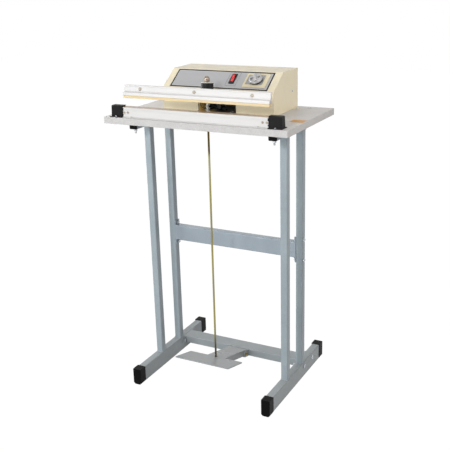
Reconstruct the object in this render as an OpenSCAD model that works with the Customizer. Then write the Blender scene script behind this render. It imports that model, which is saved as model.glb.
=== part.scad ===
// Foot pedal impulse heat sealer on a tubular stand.
// The pedal draws a rod down, and the rod closes the sprung upper jaw on the heated lower jaw.
// +Z is up and the operator stands on the -Y side. The origin is at the bottom centre.

/* [Stand] */
// Height of the table's top face above the floor
table_h = 856; // [700:1:950]
// Width of the table
table_w = 580; // [520:1:760]
// Depth of the table
table_d = 347; // [300:1:420]
// Depth of the table's folded edge
table_edge = 19; // [12:1:30]
// Sheet thickness of the table
table_t = 1.5; // [1:0.1:3]
// Distance from the centre to the middle of each side frame
frame_x = 224.5; // [190:0.5:300]
// Height of the base tubes
base_h = 50; // [40:1:60]
// Width of the base tubes, the rails and the crossbars
tube_w = 25; // [20:1:30]
// Length of the base tubes
base_len = 420; // [360:1:520]
// Side of the square leg tubes
leg_w = 22; // [20:0.5:25]
// Wall of all tubes
tube_t = 1.5; // [1.2:0.1:3]
// Height of the rails under the table
rail_h = 41; // [25:1:45]
// Distance from the centre of the stand to the middle of the front legs
leg_front = 65; // [50:1:120]
// Distance from the centre of the stand to the middle of the rear legs
leg_rear = 51.5; // [40:0.5:120]

/* [Crossbars] */
// Height of the middle crossbar's centre
bar_mid_z = 435; // [300:1:600]
// Distance of the lower crossbar's centre behind the centre of the stand
bar_low_y = 90; // [80:1:140]
// Height of the lower crossbar's centre
bar_low_z = 37; // [30:1:40]
// Distance of each frame bolt from its crossbar's centre
frame_bolt_off = 33; // [30:1:36]
// Diameter of the frame bolts
frame_bolt_d = 8; // [6:1:10]

/* [Pedal] */
// Width of the foot plate
tread_w = 185; // [150:1:220]
// Depth of the foot plate
tread_d = 100; // [70:1:120]
// Width of the pedal arm
pedal_arm_w = 62; // [45:1:70]
// Distance from the hinge to the front edge of the foot plate
pedal_len = 247; // [220:1:270]
// Slope of the raised pedal in degrees
pedal_tilt = 15; // [8:0.5:20]
// Sheet thickness of the pedal
pedal_t = 2.5; // [2:0.5:4]
// Depth of the pedal's side flanges
pedal_flange = 20; // [17:1:24]
// Diameter of the hinge bolt
hinge_bolt_d = 8; // [6:1:10]

/* [Pull rod] */
// Diameter of the pull rod
rod_d = 6; // [5:0.5:8]
// Distance of the pull rod in front of the centre of the stand
rod_front = 98; // [90:1:102]
// Diameter of the rubber buffer
buffer_d = 35.6; // [30:0.2:40]
// Height of the rubber buffer up to its shoulder
buffer_h = 25.5; // [20:0.5:32]

/* [Jaws] */
// Length of the fixed lower jaw
jaw_len = 460; // [300:1:480]
// Height of the lower jaw bar
low_jaw_h = 28.7; // [24:0.1:34]
// Depth of the lower jaw bar
low_jaw_d = 24.4; // [20:0.2:30]
// Distance of the sealing line in front of the centre of the stand
seal_front = 174; // [165:1:180]
// Width of the heating ribbon
ribbon_w = 5; // [2:0.5:8]
// Width of the silicone strip
strip_w = 12; // [8:0.5:14]
// Height of the silicone strip
strip_h = 8.5; // [6:0.5:10]
// Angle that the upper jaw stands open at rest
open_angle = 6.75; // [5:0.25:7.5]
// Gap left between the closed jaws
closed_gap = 0.4; // [0.2:0.1:1]
// Width of the jaw arm
arm_w = 30; // [24:1:36]
// Diameter of the arm's pivot shaft
shaft_d = 12; // [8:0.5:14]

/* [Housing] */
// Width of the control housing
house_w = 362; // [330:1:400]
// Depth of the control housing
house_d = 172; // [150:1:180]
// Height of the control housing
house_h = 116; // [105:1:130]
// Height of the housing's upright front
house_front_h = 69; // [68:1:80]
// Depth of the sloping control face
slope_d = 68; // [60:1:80]
// Distance of the housing's front in front of the centre of the stand
house_front = 42; // [38:1:50]
// Sheet thickness of the housing
house_t = 1.2; // [0.8:0.1:2]
// Width of the window that the jaw arm passes
window_w = 124; // [100:1:140]
// Width of the timer frame
timer_w = 72; // [60:1:80]
// Height of the timer frame
timer_h = 56; // [48:1:62]
// Diameter of the timer knob
knob_d = 40; // [30:1:44]

/* [Hidden] */
$fn = 48;
fit = 0.05;
cap_t = 1.5;
floor_gap = cap_t;
base_top = floor_gap + base_h;
pan_under = table_h - table_t;
rail_z = pan_under - rail_h;
tube_in = frame_x - tube_w / 2;
leg_in = frame_x - leg_w / 2;
table_y = -199;
bolt_hole = frame_bolt_d + 0.6;

// pedal: the hinge lies in front of the lower crossbar
hinge_y = bar_low_y - 47;
hinge_z = bar_low_z + 4;
pedal_top = 13;
ear_t = 3;
ear_in = pedal_arm_w / 2 + 0.5;
tread_u = pedal_len - tread_d;

// jaw arm: the pivot lies inside the housing, below its control face
pivot_y = 35;
pivot_z = table_h + 44;
web_t = 3;
web_top = 11;
web_mid = web_top - web_t / 2;
arm_front = -(pivot_y + seal_front - 10);
// the rod's swing centre, seen from the pivot with the jaw closed
swing_c = -(pivot_y + rod_front + web_mid * sin(open_angle)) / cos(open_angle);
swing_z = pivot_z - swing_c * sin(open_angle) + web_mid * cos(open_angle);
dome_r = buffer_h + 2 + web_t / 2;
rod_r = rod_d / 2;

// pedal hole for the rod, seen from the hinge
rod_dy = -(rod_front + hinge_y);
rod_dz = (pedal_top - pedal_t / 2 - rod_dy * sin(pedal_tilt)) / cos(pedal_tilt);
rod_u = -rod_dy * cos(pedal_tilt) + rod_dz * sin(pedal_tilt);
rod_foot_z = hinge_z + rod_dz;

// lower jaw and what lies on it
jaw_top = table_h + 0.3 + low_jaw_h;
jaw_y = -(seal_front + low_jaw_d / 2);
tape_t = 0.6;
ribbon_t = 0.25;
seal_z = jaw_top + tape_t + closed_gap;
strip_seat = 1.5;
lip_z = seal_z + strip_h - strip_seat;
end_screws = [jaw_len / 2 - 17, jaw_len / 2 - 4.5];

// covers over both jaw ends
cover_x0 = jaw_len / 2 + 0.6;
cover_x1 = cover_x0 + 39.5;
cover_y0 = jaw_y - 1;
cover_y1 = cover_y0 + 21;
cover_h = 33.5;

// housing face
front_y = -house_front;
rear_y = front_y + house_d;
house_z = table_h + 0.3;
face_z = house_z + house_front_h;
roof_z = house_z + house_h;
face_rise = house_h - house_front_h;
face_len = sqrt(slope_d * slope_d + face_rise * face_rise);
face_ang = atan2(face_rise, slope_d);
panel_w = 318;
panel_h = 75;
panel_t = 0.8;
switch_x = 36;
switch_v = 46;
bezel_w = 17;
bezel_h = 40;
rocker_w = 10;
rocker_h = 28;
timer_x = 112;
timer_v = 42;
// turn of the knob's bar at rest
knob_turn = 34;
cheek_x = window_w / 2;
// timer board beside the bracket
board_w = 0.22 * house_w;
board_d = 0.41 * house_d;
board_x = cheek_x + 22;
board_y = pivot_y - 5;
cheek_t = 3;

steel_grey = [0.60, 0.64, 0.65];
table_grey = [0.78, 0.79, 0.80];
cream = [0.93, 0.90, 0.80];
alu = [0.88, 0.89, 0.90];
zinc = [0.78, 0.74, 0.58];
bright = [0.80, 0.81, 0.82];
black = [0.07, 0.07, 0.08];
yellow_zinc = [0.72, 0.60, 0.33];

// ---------- helpers ----------

// flat rectangle with round corners, centred on the origin
module rounded(w, h, r) {
  for (sx = [-1, 1])
    for (sy = [-1, 1])
      translate([sx * (w / 2 - r), sy * (h / 2 - r)])
        circle(r = r, $fn = 32);
  square([w - 2 * r, h], center = true);
  square([w, h - 2 * r], center = true);
}

module tube_section(w, h, r = 3) {
  difference() {
    rounded(w, h, r);
    rounded(w - 2 * tube_t, h - 2 * tube_t, r - tube_t + 0.3);
  }
}

// lays a flat shape of width X and height Z along +Y, from y0 for len
module along_y(y0, len) {
  translate([0, y0 + len, 0])
    rotate([90, 0, 0])
      linear_extrude(len)
        children();
}

// lays a flat shape drawn in Y and Z along X, centred on x0
module along_x(x0, len) {
  translate([x0 - len / 2, 0, 0])
    rotate([90, 0, 90])
      linear_extrude(len)
        children();
}

module both_sides() {
  children();
  mirror([1, 0, 0])
    children();
}

module x_cyl(x0, x1, r) {
  translate([x0, 0, 0])
    rotate([0, 90, 0])
      cylinder(r = r, h = x1 - x0);
}

module y_cyl(y0, y1, r) {
  translate([0, y1, 0])
    rotate([90, 0, 0])
      cylinder(r = r, h = y1 - y0);
}

module hex(across, h) {
  cylinder(d = across / cos(30), h = h, $fn = 6);
}

// domed screw head with a cross recess, its seat at z = 0
module pan_head(d, h) {
  difference() {
    union() {
      cylinder(d = d, h = h * 0.55);
      translate([0, 0, h * 0.55])
        cylinder(d1 = d, d2 = d * 0.62, h = h * 0.45);
    }
    for (a = [0, 90])
      rotate([0, 0, a])
        translate([-d * 0.28, -d * 0.06, h * 0.5])
          cube([d * 0.56, d * 0.12, h]);
  }
}

// turns the closed jaw into its open rest position
module at_rest() {
  translate([0, pivot_y, pivot_z])
    rotate([-open_angle, 0, 0])
      children();
}

// pedal frame: X across, Y back towards the hinge, Z square to the plate
module on_pedal() {
  translate([0, hinge_y, hinge_z])
    rotate([-pedal_tilt, 0, 0])
      children();
}

// control face frame: X across, Y up the slope from its lower edge, Z outward
module on_face() {
  translate([0, front_y, face_z])
    rotate([face_ang, 0, 0])
      children();
}

// ---------- stand ----------

module base_tube() {
  difference() {
    translate([frame_x, 0, floor_gap + base_h / 2])
      along_y(-base_len / 2, base_len)
        tube_section(tube_w, base_h);
    for (s = [-1, 1])
      translate([0, bar_low_y + s * frame_bolt_off, bar_low_z])
        x_cyl(frame_x - tube_w, frame_x + tube_w, bolt_hole / 2);
  }
}

module base_tube_right() {
  color(steel_grey)
    base_tube();
}

module base_tube_left() {
  color(steel_grey)
    mirror([1, 0, 0])
      base_tube();
}

// sleeve cap with chamfered lower corners that closes and lifts one tube end
module end_cap(w, h, sleeve, nose) {
  ow = w + 2 * cap_t;
  oh = h + 2 * cap_t;
  c = 5;
  difference() {
    union() {
      along_y(-nose, nose + sleeve)
        polygon([
          [-ow / 2, -oh / 2 + c], [-ow / 2 + c, -oh / 2],
          [ow / 2 - c, -oh / 2], [ow / 2, -oh / 2 + c],
          [ow / 2, oh / 2], [-ow / 2, oh / 2]
        ]);
    }
    along_y(0, sleeve + 1)
      rounded(w, h, 3);
  }
}

module base_end_caps() {
  color(black)
    both_sides()
      for (s = [-1, 1])
        translate([frame_x, s * base_len / 2, floor_gap + base_h / 2])
          rotate([0, 0, s < 0 ? 0 : 180])
            end_cap(tube_w, base_h, 24, 4.3);
}

module leg(y, bolts) {
  h = rail_z - base_top;
  difference() {
    translate([frame_x, y, base_top])
      linear_extrude(h)
        tube_section(leg_w, leg_w);
    if (bolts)
      for (s = [-1, 1])
        translate([0, y, bar_mid_z + s * frame_bolt_off])
          x_cyl(frame_x - leg_w, frame_x + leg_w, bolt_hole / 2);
  }
}

module leg_front_right() {
  color(steel_grey)
    leg(-leg_front, false);
}

module leg_front_left() {
  color(steel_grey)
    mirror([1, 0, 0])
      leg(-leg_front, false);
}

module leg_rear_right() {
  color(steel_grey)
    leg(leg_rear, true);
}

module leg_rear_left() {
  color(steel_grey)
    mirror([1, 0, 0])
      leg(leg_rear, true);
}

rail_y = -145.5;
rail_len = 247.5;
stud_tail = 14;

module top_rail() {
  difference() {
    translate([frame_x, 0, rail_z + rail_h / 2])
      along_y(rail_y, rail_len)
        tube_section(tube_w, rail_h);
    for (y = stud_at)
      translate([frame_x, y, rail_z - 1])
        cylinder(d = 6.6, h = rail_h + 2);
  }
}

stud_at = [-136, 86];

module top_rail_right() {
  color(steel_grey)
    top_rail();
}

module top_rail_left() {
  color(steel_grey)
    mirror([1, 0, 0])
      top_rail();
}

// flat plug with a rim that closes each end of the rails
module rail_plugs() {
  color(black)
    both_sides()
      translate([frame_x, 0, rail_z + rail_h / 2])
        for (y = [rail_y - 3, rail_y + rail_len]) {
          along_y(y, 3)
            rounded(tube_w, rail_h, 3);
          along_y(y < 0 ? y + 3 : y - 6, 6)
            rounded(tube_w - 2 * tube_t - 0.4, rail_h - 2 * tube_t - 0.4, 2);
        }
}

// welded studs under the table top, each with a washer and a nut below the rail
module rail_studs() {
  color(bright)
    both_sides()
      for (y = stud_at)
        translate([frame_x, y, 0]) {
          translate([0, 0, rail_z - stud_tail])
            cylinder(d = 6, h = rail_h + stud_tail);
          translate([0, 0, rail_z - 1.2])
            cylinder(d = 13, h = 1.2);
          translate([0, 0, rail_z - 6.4])
            hex(10, 5.2);
        }
}

// ---------- crossbars ----------

module frame_bolt(x_in, grip) {
  // the bolt points inward along -X from its outer head at x = 0
  x_cyl(-grip - 7, 0, frame_bolt_d / 2);
  rotate([0, 90, 0])
    pan_head(frame_bolt_d + 5, 3.4);
  translate([-grip - 5, 0, 0])
    rotate([0, 90, 0])
      hex(frame_bolt_d + 3, 5);
}

plate_t = 3;

module middle_crossbar() {
  half = leg_in - plate_t;
  color(steel_grey) {
    translate([0, leg_rear, bar_mid_z])
      along_x(0, 2 * half)
        tube_section(tube_w, base_h);
    both_sides()
      difference() {
        translate([half, leg_rear - tube_w / 2, bar_mid_z - 40])
          cube([plate_t, tube_w, 80]);
        for (s = [-1, 1])
          translate([0, leg_rear, bar_mid_z + s * frame_bolt_off])
            x_cyl(half - 1, leg_in + 1, bolt_hole / 2);
      }
  }
}

module middle_crossbar_bolts() {
  color(bright)
    both_sides()
      for (s = [-1, 1])
        translate([frame_x + leg_w / 2, leg_rear, bar_mid_z + s * frame_bolt_off])
          frame_bolt(0, leg_w + plate_t);
}

module lower_crossbar() {
  half = tube_in - plate_t;
  color(steel_grey) {
    translate([0, bar_low_y, bar_low_z])
      along_x(0, 2 * half)
        tube_section(base_h, tube_w);
    both_sides()
      difference() {
        translate([half, bar_low_y - 41, bar_low_z - tube_w / 2])
          cube([plate_t, 82, tube_w]);
        for (s = [-1, 1])
          translate([0, bar_low_y + s * frame_bolt_off, bar_low_z])
            x_cyl(half - 1, tube_in + 1, bolt_hole / 2);
      }
    both_sides()
      hinge_ear();
  }
}

// welded ear that carries one end of the pedal's hinge bolt
module hinge_ear() {
  bar_front = bar_low_y - base_h / 2;
  difference() {
    along_x(ear_in + ear_t / 2, ear_t) {
      translate([hinge_y, hinge_z])
        circle(r = 11);
      polygon([
        [hinge_y, hinge_z + 11], [bar_front, bar_low_z + 12],
        [bar_front, bar_low_z - 12], [hinge_y, hinge_z - 11]
      ]);
    }
    translate([0, hinge_y, hinge_z])
      x_cyl(0, 60, hinge_bolt_d / 2 + fit);
  }
}

module lower_crossbar_bolts() {
  color(bright)
    both_sides()
      for (s = [-1, 1])
        translate([frame_x + tube_w / 2, bar_low_y + s * frame_bolt_off, bar_low_z])
          frame_bolt(0, tube_w + plate_t);
}

// ---------- pedal ----------

// the foot plate and its arm in one outline, seen square to the sheet
module tread_outline() {
  fillet = 4;
  translate([0, -tread_u - tread_d / 2])
    rounded(tread_w, tread_d, 4);
  translate([-pedal_arm_w / 2, -tread_u - 10])
    square([pedal_arm_w, tread_u + 23]);
  for (s = [-1, 1])
    difference() {
      translate([s * pedal_arm_w / 2 - (s < 0 ? fillet : 0), -tread_u - 1])
        square([fillet, fillet + 1]);
      translate([s * (pedal_arm_w / 2 + fillet), -tread_u + fillet])
        circle(r = fillet, $fn = 32);
    }
}

module flange_outline() {
  low = pedal_top - pedal_flange;
  polygon([
    [-tread_u - 78, pedal_top - 0.1], [13, pedal_top - 0.1], [13, 0],
    [7, low - 3], [-7, low - 3], [-12, low],
    [-tread_u, low], [-tread_u - 20, low + 3], [-tread_u - 78, pedal_top - 6]
  ]);
}

module pedal() {
  color(steel_grey)
    on_pedal()
      difference() {
        union() {
          translate([0, 0, pedal_top - pedal_t])
            linear_extrude(pedal_t)
              tread_outline();
          for (s = [-1, 1])
            along_x(s * (pedal_arm_w - pedal_t) / 2, pedal_t)
              flange_outline();
        }
        x_cyl(-50, 50, hinge_bolt_d / 2 + fit);
        translate([0, -rod_u, 0])
          linear_extrude(pedal_top + 1)
            rounded(rod_d + 2, rod_d + 5.4, rod_r + 0.99);
      }
}

module hinge_bolt() {
  out = ear_in + ear_t;
  color(yellow_zinc)
    translate([0, hinge_y, hinge_z]) {
      x_cyl(-out - 7, out, hinge_bolt_d / 2);
      translate([out, 0, 0])
        rotate([0, 90, 0])
          hex(hinge_bolt_d + 3, 4);
      translate([-out - 5, 0, 0])
        rotate([0, 90, 0])
          hex(hinge_bolt_d + 3, 5);
    }
}

// ---------- pull rod ----------

rod_top = dome_r + 2 + 7;

module pull_rod() {
  low = rod_foot_z - 24;
  color(zinc)
    translate([0, -rod_front, low])
      cylinder(r = rod_r, h = swing_z + rod_top - low);
}

// adjusting nut with a round seat under the plate, and its locknut
module rod_nuts() {
  seat_r = 8;
  under = pedal_t / 2 + 0.4;
  color(zinc)
    translate([0, -rod_front, rod_foot_z])
      difference() {
        union() {
          translate([0, 0, -under - 0.8 - seat_r])
            intersection() {
              sphere(r = seat_r);
              cylinder(r = seat_r, h = seat_r);
            }
          translate([0, 0, -under - 0.8 - seat_r - 6])
            hex(10, 6);
        }
        translate([0, 0, -40])
          cylinder(r = rod_r, h = 80);
      }
}

// ribbed rubber buffer on the jaw arm; the dished washer rides on the dome in its cupped top
module rod_buffer() {
  ribs = 5;
  pitch = buffer_h / ribs;
  color(black)
    at_rest()
      translate([0, swing_c, web_top])
        difference() {
          union() {
            difference() {
              for (k = [0:ribs - 1]) {
                translate([0, 0, k * pitch])
                  cylinder(d = buffer_d - 1.4, h = pitch * 0.35);
                translate([0, 0, k * pitch + pitch * 0.35])
                  cylinder(d = buffer_d, h = pitch * 0.65);
              }
              translate([0, 0, buffer_h - 3])
                cylinder(r = 13.8, h = 10);
            }
            intersection() {
              translate([0, 0, -web_t / 2])
                sphere(r = dome_r, $fn = 96);
              translate([0, 0, buffer_h - 6])
                cylinder(r = 13, h = 12);
            }
          }
          translate([0, 0, -1])
            cylinder(r1 = rod_r + 0.7, r2 = rod_r + 4.6, h = dome_r + 2);
        }
}

// flat steel ring bonded on the rim of the buffer
module buffer_ring() {
  color(bright)
    at_rest()
      translate([0, swing_c, web_top + buffer_h])
        difference() {
          cylinder(d = buffer_d - 1, h = 1);
          translate([0, 0, -1])
            cylinder(r = 14.2, h = 3);
        }
}

module buffer_washer() {
  color(bright)
    translate([0, -rod_front, swing_z])
      difference() {
        intersection() {
          sphere(r = dome_r + 2.3, $fn = 96);
          translate([0, 0, dome_r - 4])
            cylinder(r = 9.6, h = 10);
        }
        sphere(r = dome_r + 0.3, $fn = 96);
        cylinder(r = rod_r, h = 60);
      }
}

module acorn_nut() {
  color(bright)
    translate([0, -rod_front, swing_z + dome_r + 2.3])
      difference() {
        union() {
          intersection() {
            hex(17, 7);
            sphere(r = 11.2);
          }
          translate([0, 0, 6.6])
            intersection() {
              sphere(r = 8.6);
              cylinder(r = 9, h = 9);
            }
        }
        cylinder(r = rod_r, h = 6.8);
      }
}

// ---------- table ----------

module table_top() {
  color(table_grey)
    difference() {
      translate([-table_w / 2, table_y, table_h - table_edge])
        cube([table_w, table_d, table_edge]);
      translate([-table_w / 2 + table_t, table_y + table_t, table_h - table_edge - 1])
        cube([table_w - 2 * table_t, table_d - 2 * table_t, table_edge - table_t + 1]);
      translate([0, -rod_front, pan_under - 1])
        cylinder(d = 16, h = 5);
      for (p = concat(jaw_bolts, foot_screws, cover_bolts, bracket_bolts, transformer_bolts, tab_bolts, small_screws))
        translate([p[0], p[1], pan_under - 1])
          cylinder(d = p[2] + 0.4, h = 5);
    }
}

// x, y and thread of everything that is screwed to the table
jaw_bolts = [for (s = [-1, 1]) [s * (jaw_len / 2 - 60), -seal_front, 6]];
foot_screws = [for (s = [-1, 1]) [s * (jaw_len / 2 - 29), jaw_y - 3.1, 3]];
cover_bolts = [for (s = [-1, 1]) [s * (cover_x0 + 21), cover_y0 - 3.6, 3]];
bracket_bolts = [for (s = [-1, 1]) for (y = [-22, 52]) [s * 40, y, 5]];
transformer_x = -(house_w / 2 - 59);
transformer_y = rear_y - 56;
transformer_bolts = [for (s = [-1, 1]) [transformer_x + s * 36, transformer_y, 4]];
tab_y = rear_y - 30;
tab_bolts = [for (s = [-1, 1]) [s * (house_w / 2 + 10), tab_y, 4]];
small_screws = [for (s = [-1, 1]) [frame_x - 3.5 + s * 3.4, table_y + table_d - 22, 3]];

// guide bush for the pull rod and lower seat of the return spring
module rod_bush() {
  color(black)
    translate([0, -rod_front, 0])
      difference() {
        union() {
          translate([0, 0, table_h])
            cylinder(d = 24, h = 2.4);
          translate([0, 0, pan_under - 3])
            cylinder(d = 15.8, h = table_t + 3);
        }
        translate([0, 0, pan_under - 5])
          cylinder(d = rod_d + 4.6, h = 20);
      }
}

// open wire spring that lifts the jaw arm, one tube swept along a helix
spring_wire = 1.5;
spring_r = 6.3;
spring_z = table_h + 2.4;
spring_h = swing_z - web_t - 1.1 - spring_z;
spring_turns = 8;
spring_steps = 16 * spring_turns;

function coil_z(t) =
  let (a = t * spring_turns, dead = spring_wire * 1.02, live = spring_h - spring_wire)
  a < 1 ? a * dead
  : a > spring_turns - 1 ? live - (spring_turns - a) * dead
  : dead + (a - 1) * (live - 2 * dead) / (spring_turns - 2);

module return_spring() {
  sides = 8;
  pts = [
    for (i = [0:spring_steps])
      let (t = i / spring_steps, a = 360 * spring_turns * t)
        for (k = [0:sides - 1])
          let (b = 360 * k / sides, rr = spring_r + spring_wire / 2 * cos(b))
            [rr * cos(a), rr * sin(a), coil_z(t) + spring_wire / 2 * (1 + sin(b))]
  ];
  walls = [
    for (i = [0:spring_steps - 1])
      for (k = [0:sides - 1])
        let (n = (k + 1) % sides, p = i * sides, q = p + sides)
          each [[p + k, q + n, q + k], [p + k, p + n, q + n]]
  ];
  ends = [
    [for (k = [0:sides - 1]) sides - 1 - k],
    [for (k = [0:sides - 1]) spring_steps * sides + k]
  ];
  color(bright)
    translate([0, -rod_front, spring_z + 0.05])
      polyhedron(points = pts, faces = concat(walls, ends));
}

// ---------- lower jaw ----------

// hollow extrusion with a groove on top and a nut slot below
module low_jaw_section() {
  d = low_jaw_d;
  h = low_jaw_h;
  difference() {
    polygon([
      [-5.4, 0], [d - 1, 0], [d, 1], [d, h - 1], [d - 1, h],
      [0.8, h], [0, h - 0.8], [0, h - 7], [0.6, h - 7.6], [0, h - 8.2],
      [0, 2.2], [-0.6, 1.6], [-5.4, 1.6]
    ]);
    translate([2.4, 8])
      square([d - 4.8, h - 8 - 4.6]);
    translate([d / 2 - 6.5, h - 1])
      square([13, 2]);
    translate([d / 2 - 3.4, -1])
      square([6.8, 10]);
    translate([2.6, 2.2])
      square([d - 5.2, 4]);
  }
}

module lower_jaw() {
  color(alu)
    difference() {
      translate([0, jaw_y, table_h + 0.3])
        along_x(0, jaw_len)
          low_jaw_section();
      for (s = [-1, 1])
        for (x = end_screws)
          translate([s * x, 0, table_h + 14.8])
            y_cyl(jaw_y - 1, jaw_y + 4, 1.6);
      for (p = foot_screws)
        translate([p[0], p[1], table_h])
          cylinder(r = 1.6, h = 4);
    }
}

module jaw_shims() {
  // thin washers that the bar stands on, with the bolts that hold it to the table
  color(bright)
    for (p = jaw_bolts)
      translate([p[0], p[1], 0]) {
        difference() {
          translate([0, 0, table_h])
            cylinder(d = 16, h = 0.3);
          translate([0, 0, table_h - 1])
            cylinder(d = p[2], h = 3);
        }
        translate([0, 0, pan_under - 9])
          cylinder(d = p[2], h = table_t + 9 + 7);
        translate([0, 0, table_h + 0.3 + 2.3])
          hex(10, 3.6);
        translate([0, 0, pan_under - 6.5])
          hex(10, 5.2);
        translate([0, 0, pan_under - 1.3])
          difference() {
            cylinder(d = 13, h = 1.3);
            cylinder(d = p[2], h = 3);
          }
      }
}

module insulation_strip() {
  color([0.55, 0.36, 0.22])
    translate([-jaw_len / 2, -seal_front - 6.4, jaw_top - 1])
      cube([jaw_len, 12.8, 1]);
}

// flat ribbon over the bar, bent down at both ends to its terminals
module heating_ribbon() {
  drop = 12;
  color([0.62, 0.60, 0.56]) {
    translate([-jaw_len / 2 - 4, -seal_front - ribbon_w / 2, jaw_top])
      cube([jaw_len + 8, ribbon_w, ribbon_t]);
    both_sides()
      translate([jaw_len / 2 + 4 - ribbon_t, -seal_front - ribbon_w / 2, jaw_top - drop])
        cube([ribbon_t, ribbon_w, drop]);
  }
}

// glass cloth tape over the ribbon, laid flat on the bar from edge to edge
module release_tape() {
  color([0.66, 0.50, 0.33])
    difference() {
      translate([-jaw_len / 2, jaw_y + 0.8, jaw_top])
        cube([jaw_len, low_jaw_d - 1.8, tape_t]);
      translate([-jaw_len, -seal_front - ribbon_w / 2 - 0.1, jaw_top - 1])
        cube([2 * jaw_len, ribbon_w + 0.2, 1 + ribbon_t + 0.05]);
    }
}

module lower_jaw_screws() {
  color(bright) {
    for (s = [-1, 1])
      for (x = end_screws)
        translate([s * x, jaw_y, table_h + 14.8]) {
          rotate([90, 0, 0])
            pan_head(6.6, 2.4);
          y_cyl(0, 5, 1.5);
        }
    for (p = foot_screws)
      translate([p[0], p[1], 0]) {
        translate([0, 0, table_h + 0.3 + 1.6])
          pan_head(4.6, 1.9);
        translate([0, 0, pan_under - 4])
          cylinder(r = 1.5, h = table_t + 7);
      }
  }
}

// brass block and lug that hold and feed one end of the ribbon
module terminal_blocks() {
  color([0.75, 0.60, 0.30])
    both_sides()
      translate([jaw_len / 2 + 4, -seal_front, 0])
        difference() {
          union() {
            translate([0, -4.7, table_h + 6])
              cube([12, 9.4, 18]);
            translate([12, -4.7, table_h + 6])
              cube([10, 9.4, 4]);
            translate([0, -4.7, table_h])
              cube([22, 9.4, 6]);
          }
          translate([6, 0, table_h + 14])
            cylinder(d = 4, h = 20);
        }
}

// moulded cap with a flared foot, hollow below, with an arched way in for the ribbon
module end_cover() {
  draft = 0.8;
  w = 2;
  foot = 6.5;
  difference() {
    union() {
      intersection() {
        along_y(cover_y0 - 5, cover_y1 - cover_y0 + 10)
          polygon([
            [cover_x0, table_h], [cover_x1, table_h],
            [cover_x1 - draft, table_h + cover_h - 1.6], [cover_x1 - draft - 1.6, table_h + cover_h],
            [cover_x0 + 0.6, table_h + cover_h], [cover_x0, table_h + cover_h - 0.6]
          ]);
        along_x((cover_x0 + cover_x1) / 2, 80)
          polygon([
            [cover_y0, table_h], [cover_y1, table_h],
            [cover_y1 - draft, table_h + cover_h - 1.6], [cover_y1 - draft - 1.6, table_h + cover_h],
            [cover_y0 + draft + 2.4, table_h + cover_h], [cover_y0 + draft, table_h + cover_h - 2.4]
          ]);
      }
      translate([cover_x0, cover_y0 - foot, table_h])
        cube([cover_x1 - cover_x0 + 2, cover_y1 - cover_y0 + 2 * foot, 2]);
      // clips that lap over the front of the jaw
      for (z = [6, 19.5])
        translate([cover_x0 - 2, cover_y0 - 0.2, table_h + z])
          cube([4, 0.9, z < 10 ? 3.5 : 7.5]);
    }
    translate([cover_x0 + w, cover_y0 + w + draft, table_h - 1])
      cube([cover_x1 - cover_x0 - 2 * w - draft, cover_y1 - cover_y0 - 2 * w - 2 * draft, cover_h - w + 1]);
    translate([cover_x0 - 1, -seal_front - 6, table_h - 1])
      cube([w + 2, 12, 21]);
    translate([0, cover_y1 - 4, table_h + cover_h - 14.5])
      x_cyl(cover_x0 - 1, cover_x0 + w + 1, 12.5);
    translate([cover_x0 + 21, cover_y0 - 3.6, table_h - 1])
      cylinder(r = 1.7, h = 5);
  }
}

module end_cover_right() {
  color(black)
    end_cover();
}

module end_cover_left() {
  color(black)
    mirror([1, 0, 0])
      end_cover();
}

module cover_screws() {
  color(bright)
    for (p = cover_bolts)
      translate([p[0], p[1], 0]) {
        translate([0, 0, table_h + 2])
          pan_head(5.6, 2);
        translate([0, 0, pan_under - 4])
          cylinder(r = 1.5, h = table_t + 7);
      }
}

// ---------- upper jaw, drawn closed from the arm's pivot ----------

jaw_c = -(pivot_y + seal_front);
lip_c = lip_z - pivot_z;

// stepped extrusion: a lip that holds the strip and a web that is screwed to the bar
module up_jaw_section() {
  translate([jaw_c, lip_c])
    difference() {
      union() {
        polygon([
          [-8, 0.8], [-7.2, 0], [7.2, 0], [8, 0.8],
          [8, 8.2], [6, 9.4], [6, 29], [9.5, 29], [9.5, 30.8],
          [1, 30.8], [-0.4, 29.4], [-0.4, 11.8], [-1.6, 9.9], [-7, 9.9], [-8, 8.9]
        ]);
      }
      translate([-strip_w / 2 - 0.05, -1])
        square([strip_w + 0.1, 1 + strip_seat]);
      translate([-2.6, 5.6])
        circle(r = 2.2, $fn = 32);
      translate([2.4, 13])
        square([1.4, 3]);
      for (z = [12.6, 26])
        translate([-1.4, z])
          square([1.4, 0.6]);
    }
}

screw_x = [for (s = [-1, 0, 1]) s * (jaw_len / 2 - 53)];
screw_c = lip_c + 20;

module upper_jaw() {
  end = jaw_len / 2 + 1;
  color(alu)
    at_rest()
      difference() {
        union() {
          along_x(0, 2 * end)
            up_jaw_section();
          // round end of the bead inside the lip
          for (s = [-1, 1])
            translate([s * (end + 0.3), jaw_c - 2.6, lip_c + 5.6])
              difference() {
                x_cyl(-0.5, 0.5, 3.7);
                x_cyl(-1, 1, 2.2);
              }
        }
        for (x = screw_x)
          translate([x, 0, screw_c])
            y_cyl(jaw_c - 5, jaw_c + 12, 2.6);
      }
}

module silicone_strip() {
  color([0.95, 0.86, 0.62])
    at_rest()
      translate([-jaw_len / 2, jaw_c - strip_w / 2, lip_c + strip_seat - strip_h])
        cube([jaw_len, strip_w, strip_h]);
}

// steel flat behind the upper jaw that the arm is welded to
module jaw_bar() {
  color(black)
    at_rest()
      difference() {
        translate([-(jaw_len / 2 - 30), jaw_c + 6, lip_c + 10])
          cube([jaw_len - 60, 4, 18]);
        for (x = screw_x)
          translate([x, 0, screw_c])
            y_cyl(jaw_c + 5, jaw_c + 11, 2.5);
      }
}

module jaw_screws() {
  color(bright)
    at_rest()
      for (x = screw_x)
        translate([x, jaw_c - 0.4, screw_c]) {
          rotate([90, 0, 0])
            pan_head(9, 3);
          y_cyl(0, 10.4, 2.5);
        }
}

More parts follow.
